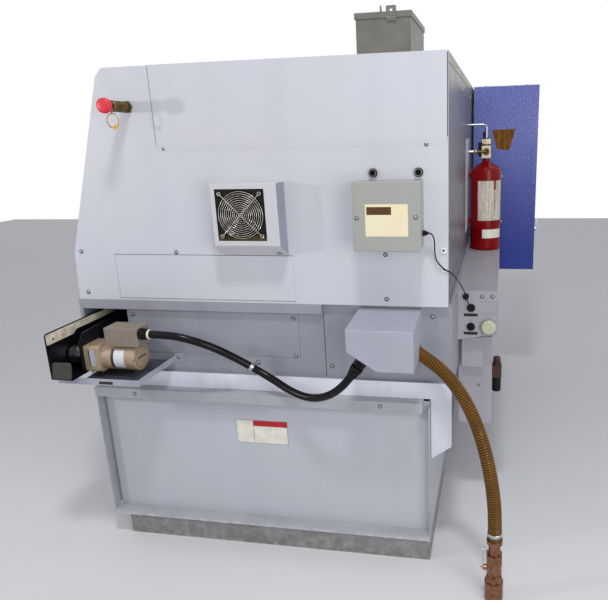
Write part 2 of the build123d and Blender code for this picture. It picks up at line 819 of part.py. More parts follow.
# Impeller: flat blades set at a pitch round a hub, which turns on a stub shaft
hub_back = fan_back + fan_strut[1] + fan_gap
hub_deep = fan_front - fan_gap - hub_back
with BuildPart(fan_plane) as fan_rotor:
    with Locations((0, 0, hub_back + hub_deep / 2)):
        Cylinder(fan_hub, hub_deep)
        with PolarLocations((fan_bore - fan_gap + fan_hub) / 2 - sheet, fan_blades):
            Box(fan_bore - fan_gap - fan_hub, blade_chord, sheet, rotation=(blade_pitch, 0, 0))
    with Locations((0, 0, hub_back)):
        Cylinder(fan_shaft, fan_gap + fan_strut[1], align=(Align.CENTER, Align.CENTER, Align.MAX))
save(fan_rotor.part, "fan_rotor")

# Guard of wire rings on two crossed stays, which end in pads on the fan body's corners
with BuildPart(fan_plane) as fan_guard:
    with BuildSketch(fan_plane.offset(fan_box_depth)) as wires:
        for i in range(guard_rings):
            radius = guard_first + guard_pitch * i
            Circle(radius)
            Circle(radius - guard_wire, mode=Mode.SUBTRACT)
        for turn in (45, 135):
            with Locations(Location((0, 0), turn)):
                Rectangle(2 * guard_corner, guard_wire)
    extrude(wires.sketch, amount=guard_wire)
    with BuildSketch(fan_plane.offset(fan_front)) as pads:
        with PolarLocations(guard_corner, 4, start_angle=45):
            Circle(2 * guard_wire)
    extrude(pads.sketch, amount=fan_box_depth + guard_wire - fan_front)
save(fan_guard.part, "fan_guard")

# Junction box and its lid
with BuildPart() as junction_box:
    box_x = (0, box_depth - lid_depth)
    block(box_x, box_y, box_z)
    fillet(junction_box.edges().filter_by(Axis.X), radius=bend)
    hollow_y = (box_y[0] + sheet, box_y[1] - sheet)
    block((sheet, box_x[1]), hollow_y, (box_z[0] + sheet, box_z[1] - sheet), mode=Mode.SUBTRACT)
save(junction_box.part, "junction_box")

with BuildPart() as junction_box_lid:
    lid_y = (box_y[0] - lid_lap, box_y[1] + lid_lap)
    block((box_x[1], box_depth), lid_y, (box_z[0] - lid_lap, box_z[1] + lid_lap))
    fillet(junction_box_lid.edges().filter_by(Axis.X), radius=bend)
    chamfer(junction_box_lid.faces().sort_by(Axis.X)[-1].edges(), length=lid_depth / 5)
save(junction_box_lid.part, "junction_box_lid")

# Fire pull: brass body, palm knob, and a safety pin with its ring and tag
pin_y = pull_y - pull_stem - pin_radius - 2 * seat
pull_plane = Plane(origin=(0, pull_y, pull_z), x_dir=(0, 1, 0), z_dir=(1, 0, 0))
with BuildPart(pull_plane) as pull_body:
    with BuildSketch(pull_plane) as nut_face:
        RegularPolygon(pull_nut[0], 6)
    extrude(nut_face.sketch, amount=pull_nut[1])
    rod(pull_neck, (pull_nut[1], pull_y, pull_z), (pull_collar[0], pull_y, pull_z))
    rod(pull_collar_radius, (pull_collar[0], pull_y, pull_z), (pull_collar[1], pull_y, pull_z))
    chamfer(pull_body.edges().filter_by(GeomType.CIRCLE).sort_by(Axis.X)[-1:], length=sheet)
    stem_from = pull_collar[0] - 3 * sheet
    stem_end = (pull_collar[1], pull_y, pull_z)
    rod(pull_stem + running, (stem_from, pull_y, pull_z), stem_end, mode=Mode.SUBTRACT)
    pin_high = (pin_x, pin_y, pull_z + 2 * pull_collar_radius)
    pin_low = (pin_x, pin_y, pull_z - 2 * pull_collar_radius)
    rod(pin_radius + running, pin_low, pin_high, mode=Mode.SUBTRACT)
save(pull_body.part, "pull_body")

with BuildPart(pull_plane) as pull_knob:
    knob_back = pull_knob_face - pull_knob_deep
    rod(pull_stem, (pull_collar[0] + 3 * sheet, pull_y, pull_z), (knob_back + bend, pull_y, pull_z))
    rod(pull_knob_radius, (knob_back, pull_y, pull_z), (pull_knob_face, pull_y, pull_z))
    rims = pull_knob.edges().filter_by(GeomType.CIRCLE).group_by(SortBy.LENGTH)[-1].sort_by(Axis.X)
    fillet(rims[-1:], radius=0.4 * pull_knob_deep)
    back_rims = pull_knob.edges().filter_by(GeomType.CIRCLE).group_by(SortBy.LENGTH)[-1].sort_by(Axis.X)
    fillet(back_rims[:1], radius=0.2 * pull_knob_deep)
save(pull_knob.part, "pull_knob")

ring_top = pull_z - pull_collar_radius - 2 * sheet
ring_low = ring_top - 2 * ring_radius
with BuildPart() as safety_pin:
    rod(pin_radius, (pin_x, pin_y, ring_top), (pin_x, pin_y, pull_z + pull_collar_radius + sheet))
    with Locations((pin_x, pin_y, ring_top)):
        Sphere(2 * ring_wire)
    with Locations(Location((pin_x, pin_y, ring_top - ring_radius), (0, 90, 0))):
        Torus(ring_radius, ring_wire)
    tag_z = ring_low - tag_radius[1] - ring_wire / 2
    tag_plane = Plane(origin=(pin_x - tag_thick / 2, pin_y, tag_z), x_dir=(0, 1, 0), z_dir=(1, 0, 0))
    with BuildSketch(tag_plane) as tag:
        Circle(tag_radius[0])
        Circle(tag_radius[1], mode=Mode.SUBTRACT)
    extrude(tag.sketch, amount=tag_thick)
save(safety_pin.part, "safety_pin")


# Hood over the coolant outlet, with a skewed lower corner and a falling roof
def hood(inset, back, front):
    """The hood's outer form, or with an inset the hollow inside its sheet."""
    low_z = hood_z[0] + inset
    left = hood_y[0] + inset
    right = hood_y[1] - inset
    above = hood_z[1] + 2 * hood_fall
    beyond = hood_front + sheet
    outline_yz = [
        (left, hood_z[0] + hood_cut[1] + inset / 2),
        (left, above),
        (right, above),
        (right, low_z),
        (hood_y[0] + hood_cut[0] + inset / 2, low_z),
    ]
    top_back = hood_z[1] - inset
    top_front = hood_z[1] - hood_fall - inset
    fall = [(back, top_back), (beyond, top_front), (beyond, above + sheet), (back, above + sheet)]
    with BuildPart(mode=Mode.PRIVATE) as form:
        section_x(outline_yz, (back, front))
        section_y(fall, (hood_y[0] - sheet, hood_y[1] + sheet), mode=Mode.SUBTRACT)
        if not inset:
            fillet(form.faces().sort_by(Axis.X)[-1].edges(), radius=bend)
    return form.part


hood_outer = hood(0, recess_x[1], hood_front)
hood_inner = hood(sheet, recess_x[1], hood_front - sheet)
hood_skew = Vector(0, -hood_cut[1], -hood_cut[0]).normalized()
hood_gland_x = hood_front - outlet_back
gland_root = Vector(hood_gland_x, hood_y[0] + hood_cut[0] / 2, hood_z[0] + hood_cut[1] / 2)
with BuildPart() as hose_cover:
    add(hood_outer)
    add(hood_inner, mode=Mode.SUBTRACT)
    hose_out = Vector(*outlet) + hose_dir * 5 * outlet_back
    rod(hose_radius + outlet_gap, outlet, hose_out, mode=Mode.SUBTRACT)
save(hose_cover.part, "hose_cover")

# Cords
gland_out = gland_root + hood_skew * hood_gland[1]
conduit_route = [
    (gland_x, terminal_y[1] + gland_length, gland_z),
    (140, -262, 868),
    (129, -198, 856),
    (98, -122, 818),
    (52, -62, 762),
    (26, -8, 716),
    (34, 62, 680),
    (66, 132, 656),
    (96, 204, 648),
    (122, 268, 668),
    (148, 322, 708),
    gland_out + hood_skew * 42,
    gland_out,
]
save(cord(conduit_route, conduit_radius), "motor_conduit")

hose_route = [
    outlet,
    (45, 566, 800),
    (65, 647, 748),
    (90, 705, 682),
    (112, 747, 606),
    (131, 775, 528),
    (146, 795, 446),
    (157, 808, 364),
    (163, 813, 286),
    (valve_x, valve_y, valve_steps[5]),
]
save(cord(hose_route, hose_radius), "coolant_hose")

cable_route = [
    (box_out, box_y[1] + cable_gland[1], cable_z),
    (30, 606, 1185),
    (27, 613, 1160),
    (22, 612, 1126),
    (15, 616, 1096),
    (8, 640, 1068),
    (2, 663, 1056),
    (-26, 672, 1036),
    (-78, 682, 1006),
    (-132, 692, 968),
    (-182, 700, 926),
    (-222, 708, 882),
    (-246, socket_y, socket_z[0]),
    (duct_x[1] + socket_out, socket_y, socket_z[0]),
]
save(cord(cable_route, cable_radius), "sensor_cable")

# Glands and blanking plugs
with BuildPart() as cable_glands:
    nut_end = terminal_y[1] + gland_nut
    gland_end = (gland_x, terminal_y[1] + gland_length, gland_z)
    rod(gland_radii[0], (gland_x, terminal_y[1], gland_z), (gland_x, nut_end, gland_z))
    rod(gland_radii[1], (gland_x, nut_end, gland_z), gland_end)
    nut_out = gland_root + hood_skew * hood_gland[0]
    rod(gland_radii[2], gland_root, nut_out)
    rod(gland_radii[3], nut_out, gland_out)
    rod(cable_gland[0], (box_out, box_y[1], cable_z), (box_out, box_y[1] + cable_gland[1], cable_z))
    for y in plug_y:
        rod(plug_radius, (0, y, plug_z), (plug_depth, y, plug_z))
save(cable_glands.part, "cable_glands")

# Valve that the hose hangs down to: hose tail, two hexagons, stem and foot
foot_top, hex_top, stem_top, hex_two, body_top, tail_top = valve_steps
with BuildPart() as hose_valve:
    rod(hose_radius + plate, (valve_x, valve_y, body_top), (valve_x, valve_y, tail_top))
    rod(valve_neck[0], (valve_x, valve_y, hex_two), (valve_x, valve_y, body_top))
    rod(valve_neck[1], (valve_x, valve_y, hex_top), (valve_x, valve_y, stem_top))
    rod(valve_neck[2], (valve_x, valve_y, valve_low), (valve_x, valve_y, foot_top))
    for low_z, high_z in ((stem_top, hex_two), (foot_top, hex_top)):
        with BuildSketch(Plane.XY.offset(low_z)) as hexagon:
            with Locations((valve_x, valve_y)):
                RegularPolygon(valve_hex, 6)
        extrude(hexagon.sketch, amount=high_z - low_z)
    stem_y = valve_y - stem_reach
    rod(valve_stem, (valve_x, valve_y, stem_z), (valve_x, stem_y, stem_z))
    rod(lever_pin, (valve_x, stem_y, stem_z), (valve_x, stem_y - 3 * lever_size[1], stem_z))
    bore_top = foot_top - valve_cap
    foot_end = (valve_x, valve_y, valve_low)
    rod(valve_bore, foot_end, (valve_x, valve_y, bore_top), mode=Mode.SUBTRACT)
save(hose_valve.part, "hose_valve")

with BuildPart() as valve_lever:
    lever_y = (stem_y - seat - lever_size[1], stem_y - seat)
    block((valve_x - lever_size[0] / 2, valve_x + lever_size[0] / 2), lever_y, lever_z)
    fillet(valve_lever.edges().filter_by(Axis.Y), radius=0.4 * lever_size[0])
    pin_back = (valve_x, lever_y[0], stem_z)
    rod(lever_pin + running, pin_back, (valve_x, lever_y[1], stem_z), mode=Mode.SUBTRACT)
save(valve_lever.part, "valve_lever")

# Chip conveyor: trough of two side plates and a floor, with a wear strip inside the far plate
with BuildPart() as conveyor_frame:
    near_y = (plate_y[1] - plate, plate_y[1])
    far_y = (plate_y[0], plate_y[0] + plate)
    low_z, high_z = trough_z
    front = trough_x[1]
    far_side = [
        (trough_x[0], low_z),
        (front, low_z),
        (front, high_z - trough_corner[1]),
        (front - trough_corner[0], high_z),
        (trough_x[0], high_z),
    ]
    section_y(far_side, far_y)
    near_side = [
        (trough_x[0], low_z),
        (front - near_front[0], low_z),
        (front - near_front[0], high_z - near_drop[0]),
        (front - near_front[1], high_z - near_drop[1]),
        (-2 * end_recess, high_z - near_drop[2]),
        (trough_x[0], high_z - near_drop[2]),
    ]
    section_y(near_side, near_y)
    block(trough_x, plate_y, (low_z, low_z + sheet))
    wear_strip = [
        (front - wear_back, high_z - wear_drop[0]),
        (front - wear_front[0], high_z - wear_drop[0]),
        (front - wear_front[1], high_z - wear_drop[1]),
        (front - wear_front[2], high_z - wear_drop[1]),
        (front - wear_front[2], high_z - wear_drop[2]),
        (front - wear_back, high_z - wear_drop[2] + sheet),
    ]
    section_y(wear_strip, (far_y[1], far_y[1] + wear))
    for y in (far_y, near_y):
        rod(shaft_radius + running, (drive_x, y[0], drive_z), (drive_x, y[1], drive_z), mode=Mode.SUBTRACT)
save(conveyor_frame.part, "conveyor_frame")

inner_y = (far_y[1] + roller_gap[0], near_y[0] - roller_gap[1])
with BuildPart() as drive_roller:
    rod(roller_radius, (drive_x, inner_y[0], drive_z), (drive_x, inner_y[1], drive_z))
    rod(shaft_radius, (drive_x, plate_y[0], drive_z), (drive_x, plate_y[1] + shaft_reach, drive_z))
save(drive_roller.part, "drive_roller")

belt_y = (inner_y[0] + belt_side, inner_y[1] - belt_side)
with BuildPart() as conveyor_belt:
    middle = ((drive_x + tail_x) / 2, belt_y[1], drive_z)
    inside = roller_radius + seat
    with BuildSketch(Plane(origin=middle, x_dir=(1, 0, 0), z_dir=(0, -1, 0))) as loop:
        SlotCenterToCenter(drive_x - tail_x, 2 * (inside + belt))
        SlotCenterToCenter(drive_x - tail_x, 2 * inside, mode=Mode.SUBTRACT)
    extrude(loop.sketch, amount=belt_y[1] - belt_y[0])
    cleats = int((drive_x - tail_x) / cleat_pitch)
    for i in range(cleats):
        x = drive_x - cleat_pitch * (i + 0.5)
        for z in (drive_z + inside + belt, drive_z - inside - belt - cleat[1]):
            block((x, x + cleat[0]), belt_y, (z, z + cleat[1]))
save(conveyor_belt.part, "conveyor_belt")

# Gearmotor: gearhead, motor and a cowl with air slots round it
with BuildPart() as gearmotor:
    head_x_span = (drive_x - gearhead, drive_x + gearhead)
    block(head_x_span, (plate_y[1], head_y), (drive_z - gearhead, drive_z + gearhead))
    fillet(gearmotor.edges().filter_by(Axis.Y), radius=gearhead_corner)
    cowl_from = motor_end_y - cowl[1]
    rod(motor_radius, (drive_x, head_y, drive_z), (drive_x, cowl_from + bend, drive_z))
    rod(motor_radius + cowl[0], (drive_x, cowl_from, drive_z), (drive_x, motor_end_y, drive_z))
    end_rim = gearmotor.edges().filter_by(GeomType.CIRCLE).sort_by(Axis.Y)[-1:]
    fillet(end_rim, radius=cowl[2])
    end_plane = Plane(origin=(drive_x, motor_end_y, drive_z), x_dir=(1, 0, 0), z_dir=(0, 1, 0))
    with BuildSketch(end_plane) as slot:
        SlotOverall(*cap_slot)
    extrude(slot.sketch, amount=-sheet, mode=Mode.SUBTRACT)
    with BuildSketch(end_plane) as groove:
        Circle(cap_groove[0])
        Circle(cap_groove[1], mode=Mode.SUBTRACT)
    extrude(groove.sketch, amount=-cap_groove[2], mode=Mode.SUBTRACT)
    shaft_hole = plate_y[1] + shaft_reach + shaft_end
    hole_start = (drive_x, plate_y[1], drive_z)
    rod(shaft_radius + running, hole_start, (drive_x, shaft_hole, drive_z), mode=Mode.SUBTRACT)
save(gearmotor.part, "gearmotor")

with BuildPart() as terminal_box:
    terminal_low = drive_z + motor_radius + cowl[0] + seat
    block(terminal_x, terminal_y, (terminal_low, terminal_top))
    fillet(terminal_box.edges().filter_by(Axis.Z), radius=terminal_corner[0])
    fillet(terminal_box.faces().sort_by(Axis.Z)[-1].edges(), radius=terminal_corner[1])
save(terminal_box.part, "terminal_box")

# Guard tray under the motor, with its upstand, its front lip and its wall tab
with BuildPart() as conveyor_tray:
    tray_x = (recess_x[1], tray_front)
    lip_x = (tray_front - tray_sheet, tray_front)
    side_y = (tray_end_y - tray_sheet, tray_end_y)
    block(tray_x, (plate_y[1], tray_end_y), (tray_low, tray_low + tray_sheet))
    block(lip_x, (plate_y[0], tray_end_y), (trough_z[0] - tray_lip, trough_z[0]))
    block(tray_x, side_y, (tray_low, trough_z[0] + tray_sheet))
    tab_y = (tray_end_y, tray_end_y + tray_tab)
    block((tray_x[0], tray_x[0] + plate), tab_y, (tray_low, tray_low + tray_tab))
    fillet(conveyor_tray.edges().filter_by(Axis.X).sort_by(Axis.Y)[-1:], radius=bend)
save(conveyor_tray.part, "conveyor_tray")

# Rear duct with the connector end, open towards the deck
with BuildPart() as rear_duct:
    duct = [(rear_out, duct_low[0]), (duct_y, duct_low[1]), (duct_y, duct_top), (rear_out, duct_top)]
    section_x(duct, duct_x)
    fillet(rear_duct.edges().filter_by(Axis.X).sort_by(Axis.Y)[-2:], radius=bend)
    hollow = [
        (rear_out, duct_low[0] + sheet),
        (duct_y - sheet, duct_low[1] + sheet),
        (duct_y - sheet, duct_top - sheet),
        (rear_out, duct_top - sheet),
    ]
    section_x(hollow, (duct_x[0] + sheet, duct_x[1] - sheet), mode=Mode.SUBTRACT)
    knob_bore = duct_x[1] - 2 * sheet
    rod(knob_stem + running, (knob_bore, knob_y, knob_z), (duct_x[1], knob_y, knob_z), mode=Mode.SUBTRACT)
save(rear_duct.part, "rear_duct")

face_x = duct_x[1]
with BuildPart() as connector_sockets:
    for z in socket_z:
        start = face_x
        for radius, length in socket_sizes:
            rod(radius, (start, socket_y, z), (start + length, socket_y, z))
            start = start + length
    start = face_x
    for radius, length in dome_sizes:
        rod(radius, (start, dome_y, dome_z), (start + length, dome_y, dome_z))
        start = start + length
    dome_rims = connector_sockets.edges().filter_by(GeomType.CIRCLE).group_by(SortBy.LENGTH)[-1]
    fillet(dome_rims.sort_by(Axis.X)[-1:], radius=dome_sizes[1][1] / 2)
save(connector_sockets.part, "connector_sockets")

with BuildPart() as selector_knob:
    rod(knob_stem, (face_x - bend, knob_y, knob_z), (face_x + bend, knob_y, knob_z))
    rod(knob_radius, (face_x + seat, knob_y, knob_z), (face_x + knob_disc, knob_y, knob_z))
    grip_y = (knob_y - knob_radius / 4, knob_y + knob_radius / 4)
    grip_z = (knob_z - knob_radius, knob_z + knob_radius)
    block((face_x + knob_disc, face_x + 2 * knob_disc), grip_y, grip_z)
save(selector_knob.part, "selector_knob")

# Pump cabinet and air regulator under the duct
with BuildPart() as pump_cabinet:
    block(pump_x, (rear_out, pump_y), pump_z)
    fillet(pump_cabinet.edges().filter_by(Axis.Z).sort_by(Axis.Y)[-2:], radius=bend)
    hollow_x = (pump_x[0] + sheet, pump_x[1] - sheet)
    block(hollow_x, (rear_out, pump_y - sheet), (pump_z[0] + sheet, pump_z[1] - sheet), mode=Mode.SUBTRACT)
    tab_y = (rear_out + pump_tab[1], rear_out + pump_tab[2])
    tab_z = (pump_z[1] + bend - pump_tab[3], pump_z[1] + bend)
    block((pump_x[1], pump_x[1] + pump_tab[0]), tab_y, tab_z)
save(pump_cabinet.part, "pump_cabinet")

with BuildPart() as air_regulator:
    middle_x = (regulator_x[0] + regulator_x[1]) / 2
    middle_y = pump_y + regulator_out / 2
    low_z, high_z = regulator_z
    block(regulator_x, (pump_y, pump_y + regulator_out), regulator_z)
    rod(bonnet[0], (middle_x, middle_y, high_z), (middle_x, middle_y, high_z + bonnet[1]))
    rod(bowl[0], (middle_x, middle_y, low_z - bowl[1]), (middle_x, middle_y, low_z))
    ends = air_regulator.edges().filter_by(GeomType.CIRCLE).sort_by(Axis.Z)
    fillet([ends[0], ends[-1]], radius=bend)
save(air_regulator.part, "air_regulator")

# Extinguisher bottle on the duct: a turned shell with a necked shoulder
with BuildPart() as bottle:
    turning_plane = Plane(origin=(bottle_x, bottle_y, 0), x_dir=(1, 0, 0), z_dir=(0, -1, 0))
    with BuildSketch(turning_plane) as half_section:
        with BuildLine():
            foot_in = bottle_radius - bottle_foot
            neck_low = bottle_neck - bottle_foot
            Line((0, duct_top), (foot_in, duct_top))
            RadiusArc((foot_in, duct_top), (bottle_radius, duct_top + bottle_foot), -bottle_foot)
            Line((bottle_radius, duct_top + bottle_foot), (bottle_radius, bottle_shoulder))
            Spline((bottle_radius, bottle_shoulder), (neck_radius, neck_low), tangents=((0, 1), (-0.4, 1)))
            Line((neck_radius, neck_low), (neck_radius, bottle_neck))
            Line((neck_radius, bottle_neck), (0, bottle_neck))
            Line((0, bottle_neck), (0, duct_top))
        make_face()
    revolve(half_section.sketch, axis=Axis((bottle_x, bottle_y, 0), (0, 0, 1)))
save(bottle.part, "bottle")

with BuildPart() as bottle_valve:
    levels = (bottle_neck, bottle_neck + valve_heights[0], valve_top - valve_heights[1], valve_top)
    for radius, low_z, high_z in zip(valve_radii, levels, levels[1:]):
        rod(radius, (bottle_x, bottle_y, low_z), (bottle_x, bottle_y, high_z))
    port = (bottle_x, bottle_y, port_z)
    rod(port_radius, port, (bottle_x, rear_y + strap_sheet, port_z))
    with Locations((bottle_x, bottle_y - ball[1], port_z)):
        Sphere(ball[0])
    gauge_x = bottle_x + gauge[1]
    rod(tube_radius + 1, port, (gauge_x, bottle_y, port_z))
    rod(gauge[0], (gauge_x, bottle_y, port_z), (gauge_x + gauge[2], bottle_y, port_z))
save(bottle_valve.part, "bottle_valve")

with BuildPart() as discharge_tube:
    with BuildLine():
        tube_line = FilletPolyline(
            (bottle_x, bottle_y, valve_top),
            (bottle_x, bottle_y, tube_z),
            (bottle_x, rear_y, tube_z),
            radius=3.6 * tube_radius,
        )
    with BuildSketch(Plane(origin=tube_line @ 0, z_dir=tube_line % 0)):
        Circle(tube_radius)
    sweep()
save(discharge_tube.part, "discharge_tube")

# Back plate on the housing with two straps round the bottle, each on a spacer
with BuildPart() as bottle_bracket:
    plate_front = rear_y + strap_sheet
    block(bracket_x, (rear_y, plate_front), bracket_z)
    for z in strap_z:
        low_z = z - strap_width / 2
        with BuildSketch(Plane.XY.offset(low_z)) as strap:
            with Locations((bottle_x, bottle_y)):
                Circle(bottle_radius + seat + strap_sheet)
                Circle(bottle_radius + seat, mode=Mode.SUBTRACT)
        extrude(strap.sketch, amount=strap_width)
        spacer_end = bottle_y - bottle_radius - seat - strap_sheet / 3
        spacer_x = (bottle_x - strap_width * 0.4, bottle_x + strap_width * 0.4)
        block(spacer_x, (plate_front, spacer_end), (low_z, low_z + strap_width))
save(bottle_bracket.part, "bottle_bracket")

# Electrical cabinet, its door, latch and drives
axis_x = cabinet_x[0] - hinge_gap
axis_y = cabinet_y[1] + hinge_gap / 2
hinge_z = (cabinet_z[0] + hinge_inset, cabinet_z[1] - hinge_inset)
inside_x = (cabinet_x[0] + sheet, cabinet_x[1] - sheet)
inside_z = (cabinet_z[0] + sheet, cabinet_z[1] - sheet)
with BuildPart() as electrical_cabinet:
    block(cabinet_x, cabinet_y, cabinet_z)
    fillet(electrical_cabinet.edges().filter_by(Axis.Y), radius=bend)
    block(inside_x, (cabinet_y[0] + sheet, cabinet_y[1]), inside_z, mode=Mode.SUBTRACT)
    for z in hinge_z:
        leaf_y = (axis_y - 2 * hinge_gap - sheet, axis_y - hinge_gap + sheet)
        block((axis_x, cabinet_x[0]), leaf_y, (z, z + knuckle))
        rod(knuckle_radius, (axis_x, axis_y, z), (axis_x, axis_y, z + knuckle))
save(electrical_cabinet.part, "electrical_cabinet")

with BuildPart() as cabinet_door:
    door_back = cabinet_y[1] + seat
    block(cabinet_x, (door_back, cabinet_front), cabinet_z)
    fillet(cabinet_door.edges().filter_by(Axis.Y), radius=bend)
    block(inside_x, (door_back, cabinet_front - sheet), inside_z, mode=Mode.SUBTRACT)
    bore_y = (cabinet_front - 2 * sheet, cabinet_front)
    bore_end = (latch_x, bore_y[1], latch_z)
    rod(latch_stem + running, (latch_x, bore_y[0], latch_z), bore_end, mode=Mode.SUBTRACT)
    for z in hinge_z:
        low_z = z + knuckle + seat
        leaf_y = (axis_y + sheet / 2, axis_y + 2 * hinge_gap - sheet / 2)
        block((axis_x, cabinet_x[0]), leaf_y, (low_z, low_z + knuckle))
        rod(knuckle_radius, (axis_x, axis_y, low_z), (axis_x, axis_y, low_z + knuckle))
save(cabinet_door.part, "cabinet_door")

with BuildPart() as cabinet_latch:
    rose = (cabinet_front + seat, cabinet_front + latch_grip[0])
    rod(latch_stem, (latch_x, cabinet_front - bend * 2, latch_z), (latch_x, rose[1], latch_z))
    rod(latch_grip[1], (latch_x, rose[0], latch_z), (latch_x, rose[1], latch_z))
    bar_half = latch_grip[2] / 2
    bar_y = (rose[1], rose[1] + bar_half)
    bar_z = (latch_z - latch_grip[1], latch_z + latch_grip[3])
    block((latch_x - bar_half, latch_x + bar_half), bar_y, bar_z)
    fillet(cabinet_latch.edges().filter_by(Axis.Y).sort_by(Axis.Z)[-2:], radius=bar_half * 0.8)
save(cabinet_latch.part, "cabinet_latch")

# Drives on a back plate: as many as the cabinet's width takes, over one supply
with BuildPart() as drive_rack:
    mount_y = cabinet_y[0] + sheet
    rack_x = (cabinet_x[0] + drive_margin, cabinet_x[1] - drive_margin)
    face_y = mount_y + plate
    rack_z = (cabinet_z[0] + drive_margin, cabinet_z[1] - drive_margin)
    block(rack_x, (mount_y, face_y), rack_z)
    drives = int((rack_x[1] - rack_x[0] + drive_pitch - drive_width) / drive_pitch)
    for i in range(drives):
        x = rack_x[0] + drive_pitch * i
        block((x, x + drive_width), (face_y, face_y + drive_deep[0]), drive_z_high)
    supply_x = (rack_x[0], (rack_x[0] + rack_x[1]) / 2)
    block(supply_x, (face_y, face_y + drive_deep[1]), drive_z_low)
save(drive_rack.part, "drive_rack")

# Box on the roof, with a lid and a hasp
with BuildPart() as roof_box:
    roof_seat = roof_z + cap_lap
    lid_low = roof_box_top - roof_lid[0]
    block(roof_box_x, roof_box_y, (roof_seat, roof_box_top))
    lap = roof_lid[1]
    lid_x = (roof_box_x[0] - lap, roof_box_x[1] + lap)
    block(lid_x, (roof_box_y[0] - lap, roof_box_y[1] + lap), (lid_low, roof_box_top))
    hasp_x = roof_box_x[1]
    hasp_y = (roof_box_y[0] + roof_box_y[1]) / 2 - roof_hasp[2] / 2
    hasp = [
        (hasp_x, roof_box_top),
        (hasp_x, roof_box_top + roof_hasp[2]),
        (hasp_x - roof_hasp[1], roof_box_top + roof_hasp[2]),
        (hasp_x - roof_hasp[0], roof_box_top),
    ]
    section_y(hasp, (hasp_y, hasp_y + plate))
save(roof_box.part, "roof_box")

# Bed casting with the headstock way, the guide-bush wall and the tool column
near_way = (sub_x[0] - sub_travel, bed_x[1] - rail)
with BuildPart() as machine_bed:
    block(bed_x, bed_y, (housing_low, bed_top))
    fillet(machine_bed.edges().filter_by(Axis.Z), radius=rail)
    wash = [(bed_y[0], bed_top - wash_fall), (column_y[0], bed_top), (bed_y[0], bed_top)]
    section_x(wash, (wall_x[1], near_way[0]), mode=Mode.SUBTRACT)
    block((bed_x[0], wall_x[0]), (spindle_y - way_half[0], spindle_y + way_half[0]), (bed_top, way_top))
    block(near_way, (spindle_y - way_half[1], spindle_y + way_half[1]), (bed_top, way_top))
    block(wall_x, (bed_y[0] + rail, column_y[0]), (bed_top, wall_top))
    column = [
        (wall_x[0], bed_top),
        (bed_x[1] - rail, bed_top),
        (bed_x[1] - 4 * rail, column_top),
        (wall_x[0], column_top),
    ]
    section_y(column, column_y)
    for reach in (-way_half[0] + 2 * rail, way_half[0] - 3 * rail):
        far_rail = (spindle_y + reach, spindle_y + reach + rail)
        block((bed_x[0] + rail, wall_x[0] - rail / 2), far_rail, (way_top, way_top + rail))
    for reach in (-way_half[1] + rail, way_half[1] - 2 * rail):
        near_rail = (spindle_y + reach, spindle_y + reach + rail)
        block((near_way[0], near_way[1] - rail), near_rail, (way_top, way_top + rail))
    for x in (slide_x[0] + 0.75 * rail, slide_x[1] - 1.75 * rail):
        block((x, x + rail), (column_y[0] - rail, column_y[0]), column_rail_z)
    bush_far = (wall_x[0], spindle_y, spindle_z)
    bush_near = (wall_x[1], spindle_y, spindle_z)
    rod(bush_radius, bush_far, bush_near, mode=Mode.SUBTRACT)
save(machine_bed.part, "machine_bed")

slide_z = way_top + rail + seat


def on_spindle(x):
    """A point of the spindle line."""
    return (x, spindle_y, spindle_z)


def saddle(x, half):
    """A spindle head: broad at its slide, narrower round the bored spindle line."""
    foot_half, top_half, foot_high = half
    profile = [
        (spindle_y - foot_half, slide_z),
        (spindle_y - foot_half, slide_z + foot_high),
        (spindle_y - top_half, spindle_z + top_half),
        (spindle_y + top_half, spindle_z + top_half),
        (spindle_y + foot_half, slide_z + foot_high),
        (spindle_y + foot_half, slide_z),
    ]
    with BuildPart() as head:
        section_x(profile, x)
        fillet(head.edges().filter_by(Axis.X).group_by(Axis.Z)[-1], radius=rail)
        rod(spindle_radius + running, on_spindle(x[0]), on_spindle(x[1]), mode=Mode.SUBTRACT)
    return head.part


save(saddle(head_x, head_half), "headstock")
save(saddle(sub_x, sub_half), "sub_spindle_head")

with BuildPart() as main_spindle:
    pulley_x = (head_x[0] - spindle_gap - pulley[1], head_x[0] - spindle_gap)
    nose_x = head_x[1] + spindle_nose
    rod(spindle_radius, on_spindle(pulley_x[1]), on_spindle(nose_x))
    rod(pulley[0], on_spindle(pulley_x[0]), on_spindle(pulley_x[1]))
    rod(bar_radius, on_spindle(pulley_x[0]), on_spindle(nose_x), mode=Mode.SUBTRACT)
save(main_spindle.part, "main_spindle")

with BuildPart() as guide_bush:
    flange_end = wall_x[1] + bush_flange[1]
    nose_end = flange_end + bush_nose[1]
    rod(bush_radius - running, on_spindle(wall_x[0]), on_spindle(flange_end))
    rod(bush_flange[0], on_spindle(wall_x[1] + seat), on_spindle(flange_end))
    rod(bush_nose[0], on_spindle(flange_end), on_spindle(nose_end))
    chamfer(guide_bush.edges().filter_by(GeomType.CIRCLE).sort_by(Axis.X)[-1:], length=bend)
    rod(bar_radius, on_spindle(wall_x[0]), on_spindle(nose_end), mode=Mode.SUBTRACT)
save(guide_bush.part, "guide_bush")

# Cross slide on the column's rails, and the tool block that feeds along its shelf
slide_back = column_y[0] - rail - seat
slide_front = slide_back - slide_plate
with BuildPart() as cross_slide:
    angle = [
        (slide_back, shelf_z[0]),
        (slide_back, slide_top),
        (slide_front, slide_top),
        (slide_front, shelf_z[1]),
        (shelf_front, shelf_z[1]),
        (shelf_front, shelf_z[0]),
    ]
    section_x(angle, slide_x)
save(cross_slide.part, "cross_slide")

